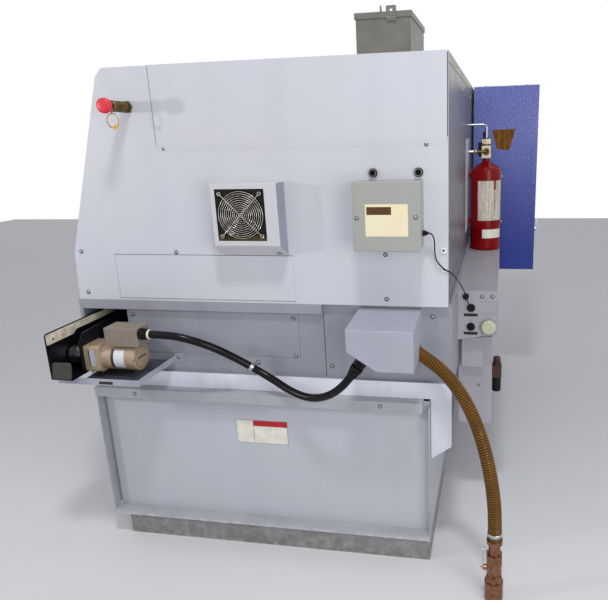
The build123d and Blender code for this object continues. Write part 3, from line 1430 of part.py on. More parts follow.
with BuildPart() as gang_tool_post:
    post_z = shelf_z[1] + seat
    post_y = (slide_front - tool_gap - tool_block, slide_front - tool_gap)
    block(tool_x, post_y, (post_z, slide_top - rail))
    holder_y = (post_y[0] - tool_holder[0], post_y[0])
    shank_y = (holder_y[0] - tool_shank[0], holder_y[0])
    for i in range(tools):
        z = post_z + rail + tool_pitch * i
        block((tool_x[0], tool_x[0] + tool_holder[1]), holder_y, (z, z + tool_holder[2]))
        shank_z = (z + bend, z + bend + tool_shank[1])
        block((tool_x[0] + plate, tool_x[0] + plate + tool_shank[1]), shank_y, shank_z)
save(gang_tool_post.part, "gang_tool_post")

with BuildPart() as sub_spindle:
    rod(spindle_radius, on_spindle(sub_x[0] - spindle_nose), on_spindle(sub_x[1] + seat))
    rod(sub_cap[0], on_spindle(sub_x[1] + seat), on_spindle(sub_x[1] + sub_cap[1]))
    bore_end = sub_x[0] - spindle_nose + sub_bore
    rod(bar_radius, on_spindle(sub_x[0] - spindle_nose), on_spindle(bore_end), mode=Mode.SUBTRACT)
save(sub_spindle.part, "sub_spindle")
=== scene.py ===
import json
from math import cos, pi, radians, sin

import bmesh
import bpy
import numpy as np
from mathutils import Matrix, Vector

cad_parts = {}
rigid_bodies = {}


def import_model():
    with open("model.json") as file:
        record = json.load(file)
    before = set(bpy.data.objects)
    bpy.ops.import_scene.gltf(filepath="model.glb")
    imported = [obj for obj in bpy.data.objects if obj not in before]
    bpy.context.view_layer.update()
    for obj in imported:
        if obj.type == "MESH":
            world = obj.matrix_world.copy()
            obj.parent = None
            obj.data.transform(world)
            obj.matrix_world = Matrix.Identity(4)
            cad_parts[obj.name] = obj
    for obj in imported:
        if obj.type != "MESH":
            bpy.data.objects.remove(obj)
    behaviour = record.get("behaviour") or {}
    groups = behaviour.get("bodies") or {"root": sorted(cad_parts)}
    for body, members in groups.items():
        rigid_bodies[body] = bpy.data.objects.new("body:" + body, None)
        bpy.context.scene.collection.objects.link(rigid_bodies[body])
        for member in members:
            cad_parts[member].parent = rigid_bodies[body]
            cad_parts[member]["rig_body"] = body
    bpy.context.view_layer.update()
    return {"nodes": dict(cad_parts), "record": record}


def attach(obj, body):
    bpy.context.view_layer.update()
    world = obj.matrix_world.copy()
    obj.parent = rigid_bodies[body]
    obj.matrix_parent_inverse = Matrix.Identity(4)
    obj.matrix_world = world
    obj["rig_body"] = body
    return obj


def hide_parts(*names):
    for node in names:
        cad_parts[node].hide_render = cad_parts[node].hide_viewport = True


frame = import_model()
scene = bpy.context.scene
nodes = frame["nodes"]
slots = {row["node"]: row["material_slot"] for row in frame["record"]["subparts"]}
MM = 0.001
END_X = np.array([1.0, 0.0, 0.0])
REAR_Y = np.array([0.0, 1.0, 0.0])
UP_Z = np.array([0.0, 0.0, 1.0])

# Camera: solved from the photo's straight edges

camera_data = bpy.data.cameras.new("photo_camera")
camera_data.sensor_width = 36.0
camera_data.lens = 35.661
camera_data.shift_x = -0.14275
camera_data.clip_start = 0.05
camera = bpy.data.objects.new("photo_camera", camera_data)
scene.collection.objects.link(camera)
camera_place = Vector((1.8391, 0.8063, 1.4760))
right = Vector((-0.17431, 0.98435, -0.02585))
back = Vector((0.94843, 0.17489, 0.26438))
upward = back.cross(right).normalized()
camera.matrix_world = Matrix((*zip(right, upward, back, camera_place), (0, 0, 0, 1)))
scene.camera = camera

# Mesh tools


def unit(vector):
    """The vector's direction, with length 1."""
    vector = np.asarray(vector, float)
    return vector / np.linalg.norm(vector)


def axes_for(normal):
    """Two directions square to a normal and to each other, the second as upright as it can be."""
    normal = unit(normal)
    guide = UP_Z if abs(normal[2]) < 0.9 else END_X
    across = unit(np.cross(guide, normal))
    return across, np.cross(normal, across), normal


def spokes(turn):
    """Pairs (cos a, sin a) for an array of angles."""
    return np.stack((np.cos(turn), np.sin(turn)), -1)


def circle(count):
    """Spokes at equal steps round one turn."""
    return spokes(np.linspace(0, 2 * pi, count, endpoint=False))


def hexagon(count):
    """Pairs on a hexagon of corner radius 1, a flat's middle at a = 0: the reach at a degrees is
    cos 30 / cos((a + 30) mod 60 - 30)."""
    turn = np.linspace(0, 2 * pi, count, endpoint=False)
    reach = np.cos(pi / 6) / np.cos((turn + pi / 6) % (pi / 3) - pi / 6)
    return reach[:, None] * circle(count)


def laid(pairs, across, over):
    """Pairs (u, v) laid out in space: u * across + v * over."""
    return pairs[..., :1] * across + pairs[..., 1:] * over


def grid(rows, columns, wrap_rows=False, wrap_columns=False):
    """Corner numbers of the quads of a rows by columns grid, as one array."""
    row = np.arange(rows if wrap_rows else rows - 1)[:, None]
    column = np.arange(columns if wrap_columns else columns - 1)[None, :]
    next_row = (row + 1) % rows
    next_column = (column + 1) % columns
    corners = [row * columns + column, row * columns + next_column,
               next_row * columns + next_column, next_row * columns + column]
    return np.stack(np.broadcast_arrays(*corners), -1).reshape(-1, 4)


def end_caps(count, rows):
    """The first and the last of rows rings as faces, the first one turned round."""
    return [np.arange(count)[::-1], np.arange(count) + count * (rows - 1)]


def turned(profile, centre, axis, rim=48):
    """Surface of revolution: centre + height * axis + radius * (u * across + v * over), where (u, v) runs
    round a circle of rim points, or round the rim that is given."""
    across, over, axis = axes_for(axis)
    radius, height = np.array(profile, float).T
    rim = circle(rim) if isinstance(rim, int) else rim
    points = np.asarray(centre, float) + height[:, None, None] * axis
    points = points + radius[:, None, None] * laid(rim, across, over)
    return points.reshape(-1, 3), grid(len(radius), len(rim), wrap_columns=True)


def carried(path, section, guide, closed=False):
    """A section carried along a path: path + u * across + v * over, both square to the path."""
    path = np.asarray(path, float)
    along = np.roll(path, -1, 0) - np.roll(path, 1, 0) if closed else np.gradient(path, axis=0)
    along /= np.linalg.norm(along, axis=1)[:, None]
    across = np.cross(np.broadcast_to(guide, path.shape), along)
    across /= np.linalg.norm(across, axis=1)[:, None]
    over = np.cross(along, across)
    section = np.asarray(section, float)
    if section.ndim == 2:
        section = np.broadcast_to(section, (len(path),) + section.shape)
    points = path[:, None] + laid(section, across[:, None], over[:, None])
    rows, count = section.shape[:2]
    return points.reshape(-1, 3), grid(rows, count, closed, True), [] if closed else end_caps(count, rows)


def oblong(width, height, corner, count=6):
    """Outline of a rectangle whose corners are quarter circles: corner's centre + corner * spokes."""
    turn = np.linspace(0, pi / 2, count)[None, :] + np.arange(4)[:, None] * pi / 2
    sign = np.array([[1, 1], [-1, 1], [-1, -1], [1, -1]])
    centres = sign * (np.array([width, height]) / 2 - corner)
    return (centres[:, None] + corner * spokes(turn)).reshape(-1, 2)


def prism(ring, push):
    """A ring of corners in space and the same ring moved by push, closed at both ends."""
    count = len(ring)
    return np.concatenate((ring, ring + push)), grid(2, count, wrap_columns=True), end_caps(count, 2)


def slab(outline, centre, normal, thick, axes=None):
    """A flat outline given a thickness along its normal: centre + u * across + v * over + n * normal."""
    across, over, normal = axes_for(normal) if axes is None else axes
    flat = np.asarray(centre, float) + laid(np.asarray(outline, float), across, over)
    return prism(flat, thick * normal)


def leaf(layers, rows, columns):
    """Two like sheets of rows by columns points, joined round their rim."""
    count = rows * columns
    rim = np.concatenate((np.arange(columns - 1), np.arange(columns - 1, count - 1, columns),
                          np.arange(count - 1, count - columns, -1), np.arange(count - columns, 0, -columns)))
    wall = np.stack((rim, np.roll(rim, -1), np.roll(rim, -1) + count, rim + count), -1)
    sheet = grid(rows, columns)
    return np.concatenate(layers).reshape(-1, 3), np.concatenate((sheet[:, ::-1], sheet + count, wall))


def copies(shape, places, axes):
    """One small shape, drawn about the origin in (u, v, n), set at many places on the same axes."""
    points, faces = shape[0] @ np.stack(axes), shape[1]
    places = np.asarray(places, float).reshape(-1, 3)
    moved = (points[None] + places[:, None]).reshape(-1, 3)
    shift = len(points) * np.arange(len(places))
    caps = [cap + first for first in shift for cap in shape[2]]
    return moved, (faces[None] + shift[:, None, None]).reshape(-1, faces.shape[1]), caps


def joined(*shapes):
    """Several shapes as one set of arrays."""
    points, faces, base = [], [], 0
    for shape in shapes:
        points.append(np.asarray(shape[0]).reshape(-1, 3))
        faces += (np.asarray(shape[1]) + base).tolist()
        faces += [(np.asarray(cap) + base).tolist() for cap in (shape[2] if len(shape) > 2 else [])]
        base += len(points[-1])
    return np.concatenate(points), faces


def settle(mesh, angle):
    """Smooth shading that breaks where faces meet at more than the angle."""
    mesh.polygons.foreach_set("use_smooth", np.ones(len(mesh.polygons), bool))
    mesh.set_sharp_from_angle(angle=radians(angle))


def ease(obj, width, angle=30, segments=2):
    """Rounds the edges of a piece, as a fold or a moulding has them."""
    bevel = obj.modifiers.new("ease", "BEVEL")
    bevel.width = width
    bevel.segments = segments
    bevel.limit_method = "ANGLE"
    bevel.angle_limit = radians(angle)
    bevel.harden_normals = True
    bevel.use_clamp_overlap = True


def placed(name, mesh, finish, body):
    """An object of the mesh, with its finish and body."""
    obj = bpy.data.objects.new(name, mesh)
    scene.collection.objects.link(obj)
    mesh.materials.append(finish)
    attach(obj, body)
    return obj


def piece(name, shapes, finish, slot="zinc", bevel=0.0, angle=34.0, body="machine", replaces=None,
          valley=None):
    """A new piece from arrays: points that meet are joined, faces point outwards. One that replaces a node
    takes that node's body. valley is one value a point, kept as the attribute from which a finish paints
    shade in the valleys."""
    points, faces = joined(*shapes)
    mesh = bpy.data.meshes.new(name)
    mesh.from_pydata(points.tolist(), [], faces)
    if valley is not None:
        mesh.attributes.new("valley", "FLOAT", "POINT").data.foreach_set("value", valley)
    work = bmesh.new()
    work.from_mesh(mesh)
    bmesh.ops.remove_doubles(work, verts=work.verts, dist=1e-6)
    bmesh.ops.dissolve_degenerate(work, edges=work.edges, dist=1e-7)
    bmesh.ops.recalc_face_normals(work, faces=work.faces)
    work.to_mesh(mesh)
    work.free()
    settle(mesh, angle)
    if replaces:
        body, slot = nodes[replaces]["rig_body"], slots[replaces]
    obj = placed(name, mesh, finish, body)
    if bevel:
        ease(obj, bevel)
    if replaces:
        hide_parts(replaces)
    return obj


def refined(node, name, finish, bevel=0.0008, angle=34.0, segments=2, whole=True):
    """A CAD node's own mesh with its triangles joined and its folds eased, in the node's place. With whole
    off its triangles stay, for a face whose hole would close."""
    mesh = bpy.data.meshes.new(name)
    work = bmesh.new()
    work.from_mesh(nodes[node].data)
    bmesh.ops.remove_doubles(work, verts=work.verts, dist=1e-5)
    if whole:
        bmesh.ops.dissolve_limit(work, angle_limit=radians(0.5), verts=work.verts, edges=work.edges)
    work.to_mesh(mesh)
    work.free()
    if "custom_normal" in mesh.attributes:
        mesh.attributes.remove(mesh.attributes["custom_normal"])
    settle(mesh, angle)
    mesh.materials.clear()
    obj = placed(name, mesh, finish, nodes[node]["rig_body"])
    if bevel:
        ease(obj, bevel, angle, segments)
    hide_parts(node)
    return obj


def second_finish(obj, finish, chosen):
    """Gives another finish to the faces whose centres pass a test on arrays."""
    mesh = obj.data
    centres = np.empty(3 * len(mesh.polygons))
    mesh.polygons.foreach_get("center", centres)
    before = np.empty(len(mesh.polygons), np.int32)
    mesh.polygons.foreach_get("material_index", before)
    index = np.where(chosen(*centres.reshape(-1, 3).T), len(mesh.materials), before)
    mesh.materials.append(finish)
    mesh.polygons.foreach_set("material_index", index.astype(np.int32))


# Materials


def linear(text):
    """An sRGB hex colour in linear light."""
    value = np.array([int(text[i:i + 2], 16) for i in (1, 3, 5)]) / 255
    value = np.where(value <= 0.04045, value / 12.92, ((value + 0.055) / 1.055) ** 2.4)
    return (*value.tolist(), 1.0)


def add(tree, kind, settings=None, **sockets):
    """Adds a node; a socket gets a value, or a link where it is given another node's output."""
    made = tree.nodes.new("ShaderNode" + kind)
    for key, value in (settings or {}).items():
        setattr(made, key, value)
    for key, value in sockets.items():
        socket = made.inputs[int(key[3:])] if key.startswith("at_") else made.inputs[key.replace("_", " ")]
        if isinstance(value, bpy.types.NodeSocket):
            tree.links.new(value, socket)
        else:
            socket.default_value = value
    return made


def surface(name, colour, rough, cloud, *grain, metal=0.0, streaks=None, specks=None, grime_and_glints=None, fade=None,
            valley_shade=None, cells=None, brushed=None, **sockets):
    """A finish whose colour, gloss and relief vary by patterns sized in real millimetres.

    cloud, streaks and specks are (size in mm, hex, share). grain is pairs of (size, depth) in mm. grime is
    patches of (clean height, dirty height in m, hex, share), with a fifth number sparse flecks of that
    size in mm, which on the hammered blue are pale painted glints and not dirt. fade is (start height,
    end height, hex, share) without patches; on the hammered blue it darkens the foot as painted shade.
    rib is the hex that a piece's own attribute "valley" brings in, as painted shade in the valleys.
    cells is a hammered relief (size, depth), and brushed lines are (spacing in mm, depth, scale of each
    axis)."""
    made = bpy.data.materials.new(name)
    made.use_nodes = True
    tree = made.node_tree
    shader = tree.nodes["Principled BSDF"]
    place = add(tree, "TexCoord").outputs["Object"]

    def noise(size, detail=3.0):
        return add(tree, "TexNoise", Vector=place, Scale=1000 / size, Detail=detail).outputs[0]

    def drawn_noise(scale, detail):
        drawn = add(tree, "Mapping", Vector=place, Scale=scale).outputs[0]
        return add(tree, "TexNoise", Vector=drawn, Scale=1.0, Detail=detail).outputs[0]

    def height():
        return add(tree, "SeparateXYZ", Vector=place).outputs[2]

    def spread(value, low, high, least=0.0, most=1.0):
        return add(tree, "MapRange", Value=value, From_Min=low, From_Max=high, To_Min=least,
                   To_Max=most).outputs[0]

    def times(first, second):
        return add(tree, "Math", {"operation": "MULTIPLY"}, at_0=first, at_1=second).outputs[0]

    def over(share, under, top):
        return add(tree, "Mix", {"data_type": "RGBA"}, at_0=share, at_6=under, at_7=linear(top)).outputs[2]

    # Noise keeps near the middle of 0 to 1, so each pattern spreads a band of it up to its own share.
    tint = over(spread(noise(cloud[0]), 0.35, 0.7, 0.0, cloud[2]), linear(colour), cloud[1])
    if streaks:
        size = 1000 / streaks[0]
        drawn = drawn_noise((size, size, size / 22), 4.0)
        tint = over(spread(drawn, 0.5, 0.75, 0.0, streaks[2]), tint, streaks[1])
    if specks:
        tint = over(spread(noise(specks[0], 2.0), 0.66, 0.72, 0.0, specks[2]), tint, specks[1])
    if fade:
        tint = over(spread(height(), fade[0], fade[1], 0.0, fade[3]), tint, fade[2])
    if valley_shade:
        tint = over(add(tree, "Attribute", {"attribute_name": "valley"}).outputs["Fac"], tint, valley_shade)
    if grime_and_glints:
        sparse = len(grime_and_glints) > 4
        patch = spread(noise(grime_and_glints[4], 4.0), 0.55, 0.62) if sparse else spread(noise(28.0, 6.0), 0.36, 0.62)
        patch = times(spread(height(), grime_and_glints[0], grime_and_glints[1]), patch)
        tint = over(times(patch, grime_and_glints[3]), tint, grime_and_glints[2])
    tree.links.new(tint, shader.inputs["Base Color"])
    tree.links.new(spread(noise(60.0, 5.0), 0.3, 0.7, rough[0], rough[1]), shader.inputs["Roughness"])
    reliefs = [(noise(size, 2.0), depth) for size, depth in grain]
    if cells:
        cell = add(tree, "TexVoronoi", {"feature": "SMOOTH_F1"}, Vector=place, Scale=1000 / cells[0])
        reliefs.append((cell.outputs[0], cells[1]))
    if brushed:
        lines = np.array(brushed[2]) * 1000 / brushed[0]
        reliefs.append((drawn_noise(lines.tolist(), 2.0), brushed[1]))
    step = None
    for pattern, depth in reliefs:
        below = {"Normal": step.outputs[0]} if step else {}
        step = add(tree, "Bump", Height=pattern, Distance=depth * MM, **below)
    if step:
        tree.links.new(step.outputs[0], shader.inputs["Normal"])
    shader.inputs["Metallic"].default_value = metal
    for key, value in sockets.items():
        shader.inputs[key.replace("_", " ")].default_value = value
    return made


# Baked powder coat on sheet steel: faintly dimpled, with slight upright streaks and an uneven gloss.
# The dimples are 3 mm instead of 1 mm, so that they show at all.
housing_paint = surface("powder_coat_light_grey", "#CCCFDA", (0.36, 0.5), (420, "#CDCDCF", 0.9), (3.0, 0.05),
                        (240, 1.2), streaks=(90, "#BFC1C8", 0.25))
cover_paint = surface("powder_coat_pale_cover", "#CCCCD0", (0.36, 0.48), (160, "#C9C9CC", 0.8), (3.0, 0.05))
# Oven enamel on the recessed sheets: a blue grey, darkened in part as painted shade under the housing's
# overhang, with streaks of oil film. On the fan cover's rear side it is painted shade.
recess_grey_and_shade = surface("oven_enamel_grey_and_painted_shade", "#9496A3", (0.33, 0.5), (300, "#A0A1A9", 0.8), (3.0, 0.05),
                       (200, 1.0), streaks=(60, "#83858F", 0.35))
hood_paint = surface("oven_enamel_hood_grey", "#A9ABB9", (0.34, 0.48), (120, "#A2A4AF", 0.8), (3.0, 0.05))
# The apron's enamel is lighter than the housing's: painted light, for the light it catches from above.
apron_lit_paint = surface("oven_enamel_apron_painted_light", "#E8EBF7", (0.35, 0.48), (260, "#DEE1EC", 0.8), (3.0, 0.05),
                      (200, 1.0), streaks=(70, "#BEC0CA", 0.3))
# Brushed-on tank enamel: faint darker runs and grey dirt along its foot.
tank_paint = surface("tank_enamel", "#BCC0CB", (0.32, 0.52), (420, "#BDBFC0", 0.8), (3.0, 0.05), (160, 1.2),
                     streaks=(120, "#B0B4BD", 0.3), grime_and_glints=(0.116, 0.098, "#86857F", 0.35))
# The tank's frame is paler in patches along its foot.
frame_paint = surface("frame_enamel", "#A6A7AD", (0.34, 0.5), (90, "#B4B5BA", 0.8), (3.0, 0.05),
                      grime_and_glints=(0.114, 0.102, "#D8D9DD", 0.7))
skid_paint = surface("scuffed_skid_enamel", "#9C9EA2", (0.45, 0.65), (50, "#8A8A86", 0.9), (5, 0.3),
                     specks=(9, "#34312C", 0.9), grime_and_glints=(0.12, 0.0, "#6B665C", 0.7))
# Painted steel box: warm grey, satin, with a soft mottle from handling.
box_paint = surface("satin_grey_box_paint", "#A2A59D", (0.36, 0.46), (70, "#A3A2A3", 0.8), (2.5, 0.05))
# Hammer-finish enamel: a skin of 7 mm dimples; it darkens towards the foot as painted shade, and its pale
# flecks high up are painted glints.
hammer_blue = surface("hammered_blue_enamel", "#666EB8", (0.16, 0.26), (380, "#5A62AE", 0.9),
                      grime_and_glints=(1.2, 1.5, "#B4BAE4", 0.6, 5), fade=(1.45, 0.85, "#2A3A92", 0.95),
                      cells=(7.0, 0.8), Specular_IOR_Level=0.35)
# Cylinder lacquer: deep wet red with runs of rust-brown grime.
bottle_red = surface("cylinder_red_lacquer", "#88000A", (0.16, 0.28), (60, "#6E0006", 0.8), (30, 0.15),
                     streaks=(14, "#4A0C06", 0.3), Specular_IOR_Level=0.2)
knob_red = surface("moulded_red_phenolic", "#DE2439", (0.3, 0.42), (12, "#E8384A", 0.7), (1.2, 0.03))
# Tarnished cast brass: brown film with bright rubbed spots.
brass = surface("tarnished_brass", "#7C6740", (0.32, 0.55), (9, "#4C3D26", 0.85), (1.5, 0.12), metal=1.0,
                specks=(4, "#C9AF72", 0.6))
bronze = surface("cast_bronze_valve", "#9A6E54", (0.2, 0.34), (14, "#6A4836", 0.8), (2, 0.1), metal=1.0,
                 specks=(5, "#C8A084", 0.4))
gold_wire = surface("gilt_steel_wire", "#C49A3C", (0.3, 0.45), (8, "#7D6836", 0.7), (1, 0.03), metal=0.8)
pale_film = surface("pale_foil_label", "#B4BAC0", (0.3, 0.42), (8, "#9FA8B0", 0.8), (4, 0.03))
tag_yellow = surface("moulded_yellow_polythene", "#E3B53C", (0.4, 0.5), (10, "#D8A52C", 0.6), (1.5, 0.04),
                     Subsurface_Weight=0.15, Subsurface_Scale=0.004)
# Motor enamel: cream beige with darker flecks and an uneven gloss.
motor_paint = surface("beige_motor_enamel", "#AF9A81", (0.28, 0.42), (30, "#9B8770", 0.85), (3, 0.08),
                      specks=(4, "#94805F", 0.35))
terminal_paint = surface("terminal_box_enamel", "#8A7E70", (0.34, 0.46), (25, "#7E7264", 0.8), (2.5, 0.06))
# Moulded rubber and nylon fittings: near black with a soft sheen.
black_rubber = surface("moulded_black_rubber", "#0C0C0E", (0.34, 0.46), (12, "#161614", 0.7), (1.2, 0.05),
                       Specular_IOR_Level=0.14)
black_nylon = surface("black_nylon", "#0D0D10", (0.24, 0.36), (9, "#161618", 0.7), (1, 0.03),
                      Specular_IOR_Level=0.2)
# Dusty fan moulding: olive black, matt, with brown dust that lies in its lower corners.
fan_black = surface("dusty_fan_moulding", "#12120E", (0.55, 0.7), (16, "#1E1C16", 0.8), (1.5, 0.05),
                    specks=(5, "#4A4030", 0.5), grime_and_glints=(1.19, 1.165, "#6B5A3E", 0.8), Specular_IOR_Level=0.15)
# PVC-sheathed conduit: smooth black skin that mirrors the light in one long line.
conduit_skin = surface("pvc_conduit_sheath", "#08080B", (0.08, 0.16), (40, "#100F13", 0.7), (2, 0.05),
                       Specular_IOR_Level=0.2)
cable_skin = surface("pvc_twin_lead", "#0C0C0E", (0.35, 0.48), (20, "#161618", 0.6), (1, 0.03),
                     Specular_IOR_Level=0.15)
# Amber coolant hose: clear brown PVC whose valleys between the ribs are darkened as painted shade, wet on its
# crowns.
amber_hose = surface("amber_pvc_hose", "#835803", (0.07, 0.14), (60, "#684202", 0.85), (9, 0.1),
                     valley_shade="#3A2405", Specular_IOR_Level=0.22)
cream_nylon = surface("cream_nylon_ring", "#E9E2CC", (0.35, 0.45), (6, "#DDD4B8", 0.6), (1, 0.02))
dome_cream = surface("aged_cream_plastic", "#C7C9AE", (0.22, 0.34), (14, "#B7B99C", 0.8), (2, 0.03),
                     Subsurface_Weight=0.15, Subsurface_Scale=0.004)
oiled_black = surface("oiled_black_plate", "#0B0C10", (0.16, 0.34), (70, "#14161E", 0.8), (4, 0.08),
                      specks=(9, "#26272D", 0.5), Specular_IOR_Level=0.2)
# Wear strip: cream coating rubbed brown by chips sliding past.
wear_cream = surface("rubbed_cream_strip", "#EAE3D2", (0.35, 0.5), (26, "#BDAE90", 0.9), (3, 0.08),
                     specks=(7, "#6F6350", 0.6))
# The tray's floor: a glossy dark grey that is painted shade.
tray_floor_shade = surface("tray_floor_painted_shade", "#4C4D58", (0.16, 0.3), (50, "#3F4049", 0.8), (3, 0.06))
flap_rubber = surface("nitrile_flap", "#37312F", (0.4, 0.55), (20, "#2A2624", 0.8), (2, 0.08),
                      specks=(5, "#524A46", 0.4))
tray_paint = surface("tray_enamel", "#A9ABB8", (0.34, 0.5), (60, "#9A9CA8", 0.8), (3, 0.06))
# Plated fasteners, clips and wires: bright metal with a faint grain.
yellow_zinc = surface("yellow_chromate_zinc", "#8F8264", (0.3, 0.42), (4, "#5E543C", 0.8), (0.8, 0.02),
                      metal=1.0)
# Dark washers under the screw heads: painted shade round each head.
washer_shade = surface("washer_painted_shade", "#56585C", (0.4, 0.55), (3, "#3A3B3E", 0.8), (0.8, 0.02),
                      metal=0.7)
zinc = surface("bright_zinc_plate", "#BFC2C4", (0.22, 0.36), (5, "#8E9091", 0.6), (0.8, 0.02), metal=1.0)
bright_wire = surface("nickel_plated_wire", "#D2CFCB", (0.18, 0.32), (12, "#8A837B", 0.8), (1, 0.02),
                      metal=1.0)
ground_steel = surface("ground_steel", "#A7ABB0", (0.2, 0.34), (30, "#90949A", 0.6), metal=1.0,
                       brushed=(0.8, 0.03, (0.05, 1, 1)))
turned_steel = surface("turned_steel", "#B4B7BB", (0.18, 0.3), (20, "#9A9DA2", 0.5), metal=1.0,
                       brushed=(0.7, 0.03, (1, 0.05, 0.05)))
blackened = surface("black_oxide_steel", "#25262B", (0.28, 0.42), (15, "#34353A", 0.7), (1.5, 0.04),
                    metal=0.8)
casting_paint = surface("painted_casting", "#8B8E94", (0.42, 0.58), (80, "#7C7F86", 0.8), (4, 0.2), (40, 0.8),
                        specks=(6, "#6A6C70", 0.35))
pedestal_paint = surface("pedestal_casting_enamel", "#7F828B", (0.42, 0.58), (220, "#74777F", 0.8), (4, 0.2),
                         (60, 1.0), grime_and_glints=(0.3, 0.06, "#504D48", 0.55))
duct_paint = surface("duct_enamel", "#AAA8AF", (0.34, 0.48), (120, "#A19EA6", 0.8), (3, 0.05),
                     streaks=(40, "#9B9CA4", 0.3))
# The rear sheets turn away from the lights: their grey is darkened as painted shade, their lighter
# upright streaks are painted reflections, they are paler along the top edge, and they have a wet shine.
rear_shade_grey = surface("rear_enamel_painted_shade", "#66656B", (0.26, 0.4), (220, "#57555D", 0.8), (240, 1.0),
                    streaks=(34, "#82828A", 0.35), fade=(1.625, 1.665, "#8A867A", 0.85),
                    Specular_IOR_Level=0.3)
roof_box_paint = surface("roof_box_enamel", "#6B6A65", (0.36, 0.5), (60, "#7F7B70", 0.7), (3, 0.06))
white_label = surface("vinyl_label_bluish", "#DCE0E2", (0.3, 0.4), (30, "#CDD4DA", 0.6), (6, 0.03))
paper_label = surface("vinyl_label_white", "#EAE7DA", (0.32, 0.42), (35, "#CFCBB8", 0.7), (6, 0.03))
cream_label = surface("vinyl_label_cream", "#F0E6C4", (0.3, 0.4), (60, "#EADFB8", 0.7), (6, 0.03))
red_label = surface("vinyl_label_red", "#B80F20", (0.3, 0.4), (30, "#A50D1C", 0.6), (6, 0.03))
brown_field = surface("printed_brown_field", "#4A2C12", (0.35, 0.45), (20, "#5E3814", 0.7), (6, 0.02))
ink_black = surface("screened_black_ink", "#17171A", (0.4, 0.5), (10, "#222226", 0.6), (3, 0.02))
rust_run = surface("rust_run_on_paper", "#6E3A0E", (0.4, 0.55), (9, "#A5681E", 0.9), (3, 0.05))
stained_label = surface("stained_paper_label", "#D5D1C4", (0.4, 0.55), (16, "#B9B4A4", 0.8), (3, 0.05),
                        streaks=(7, "#7A4A16", 0.8))
amber_film = surface("amber_varnish_patch", "#7A4C00", (0.14, 0.26), (30, "#553200", 0.9), (8, 0.2),
                     streaks=(10, "#A87414", 0.6), Specular_IOR_Level=0.2)
# Dark strips in the gaps between sheets: painted shade.
seam_shade = surface("painted_gap_shade", "#4A4B51", (0.55, 0.7), (20, "#3C3D42", 0.6), (1, 0.03))
# A lap joint lit from the front: the gap is grey and not black.
seam_grey = surface("lap_joint_shade", "#8E9197", (0.5, 0.6), (30, "#83868C", 0.6), (1, 0.03))
worn_grey = surface("worn_grey_rim", "#7C7C7E", (0.3, 0.42), (4, "#4A4A4C", 0.8), (1, 0.03))
white_plastic = surface("white_nylon_clip", "#F2F2F2", (0.35, 0.45), (6, "#C9C9CC", 0.6), (1, 0.02))
cream_fitting = surface("cream_glazed_fitting", "#E6DDB8", (0.2, 0.32), (9, "#D8CC9C", 0.7), (2, 0.03))
screen_glass = surface("dark_screen_glass", "#0C1016", (0.05, 0.1), (160, "#141A24", 0.6), Coat_Weight=0.6)
window_glass = surface("laminated_window", "#B9C4C0", (0.04, 0.08), (200, "#AEBAB6", 0.5),
                       Transmission_Weight=0.85, IOR=1.5)
key_plastic = surface("moulded_key_plastic", "#D2D4D6", (0.36, 0.46), (8, "#C3C5C8", 0.7), (1, 0.03))
copper = surface("tarnished_copper", "#54352A", (0.36, 0.5), (12, "#33201A", 0.85), (1.5, 0.05), metal=0.4)
green_cap = surface("green_button_cap", "#2E8B57", (0.3, 0.4), (5, "#2A7F50", 0.6), (1, 0.02))
amber_cap = surface("amber_button_cap", "#D9901E", (0.3, 0.4), (5, "#CC8418", 0.6), (1, 0.02))
circuit_grey = surface("drive_case_plastic", "#4E5259", (0.4, 0.55), (30, "#5E636B", 0.7), (1.5, 0.05))

# Cords


def run_along(line):
    """How far along a line each of its points lies."""
    return np.r_[0, np.cumsum(np.linalg.norm(np.diff(line, axis=0), axis=1))]


def smooth_line(name, route, step):
    """Points at equal steps along the smooth line that a route's control points shape."""
    curve = bpy.data.curves.new(name, "CURVE")
    curve.dimensions = "3D"
    curve.resolution_u = 24
    spline = curve.splines.new("NURBS")
    spline.points.add(len(route) - 1)
    spline.points.foreach_set("co", np.c_[route, np.ones(len(route))].ravel())
    spline.order_u = 3
    spline.use_endpoint_u = True
    holder = bpy.data.objects.new(name, curve)
    mesh = bpy.data.meshes.new_from_object(holder)
    line = np.empty(3 * len(mesh.vertices))
    mesh.vertices.foreach_get("co", line)
    line = line.reshape(-1, 3)
    bpy.data.objects.remove(holder)
    bpy.data.curves.remove(curve)
    bpy.data.meshes.remove(mesh)
    gone = run_along(line)
    even = np.linspace(0, gone[-1], int(gone[-1] / step) + 1)
    return np.stack([np.interp(even, gone, axis) for axis in line.T], -1), even


gland_root = np.array([0.165, 0.407, 0.8215])
hood_skew = unit((0, -0.061, -0.092))
gland_out = gland_root + 0.03 * hood_skew
conduit_route = [
    (0.14, -0.318, 0.868), (0.14, -0.262, 0.868), (0.129, -0.198, 0.856), (0.098, -0.122, 0.818),
    (0.052, -0.062, 0.762), (0.026, -0.008, 0.716), (0.034, 0.062, 0.68), (0.066, 0.132, 0.656),
    (0.096, 0.204, 0.648), (0.122, 0.268, 0.668), (0.148, 0.322, 0.708),
    tuple(gland_out + 0.042 * hood_skew), tuple(gland_out),
]
hose_route = [
    (0.04, 0.488, 0.846), (0.045, 0.566, 0.8), (0.065, 0.647, 0.748), (0.09, 0.705, 0.682),
    (0.112, 0.747, 0.606), (0.131, 0.775, 0.528), (0.146, 0.795, 0.446), (0.157, 0.808, 0.364),
    (0.163, 0.813, 0.286), (0.163, 0.813, 0.226),
]
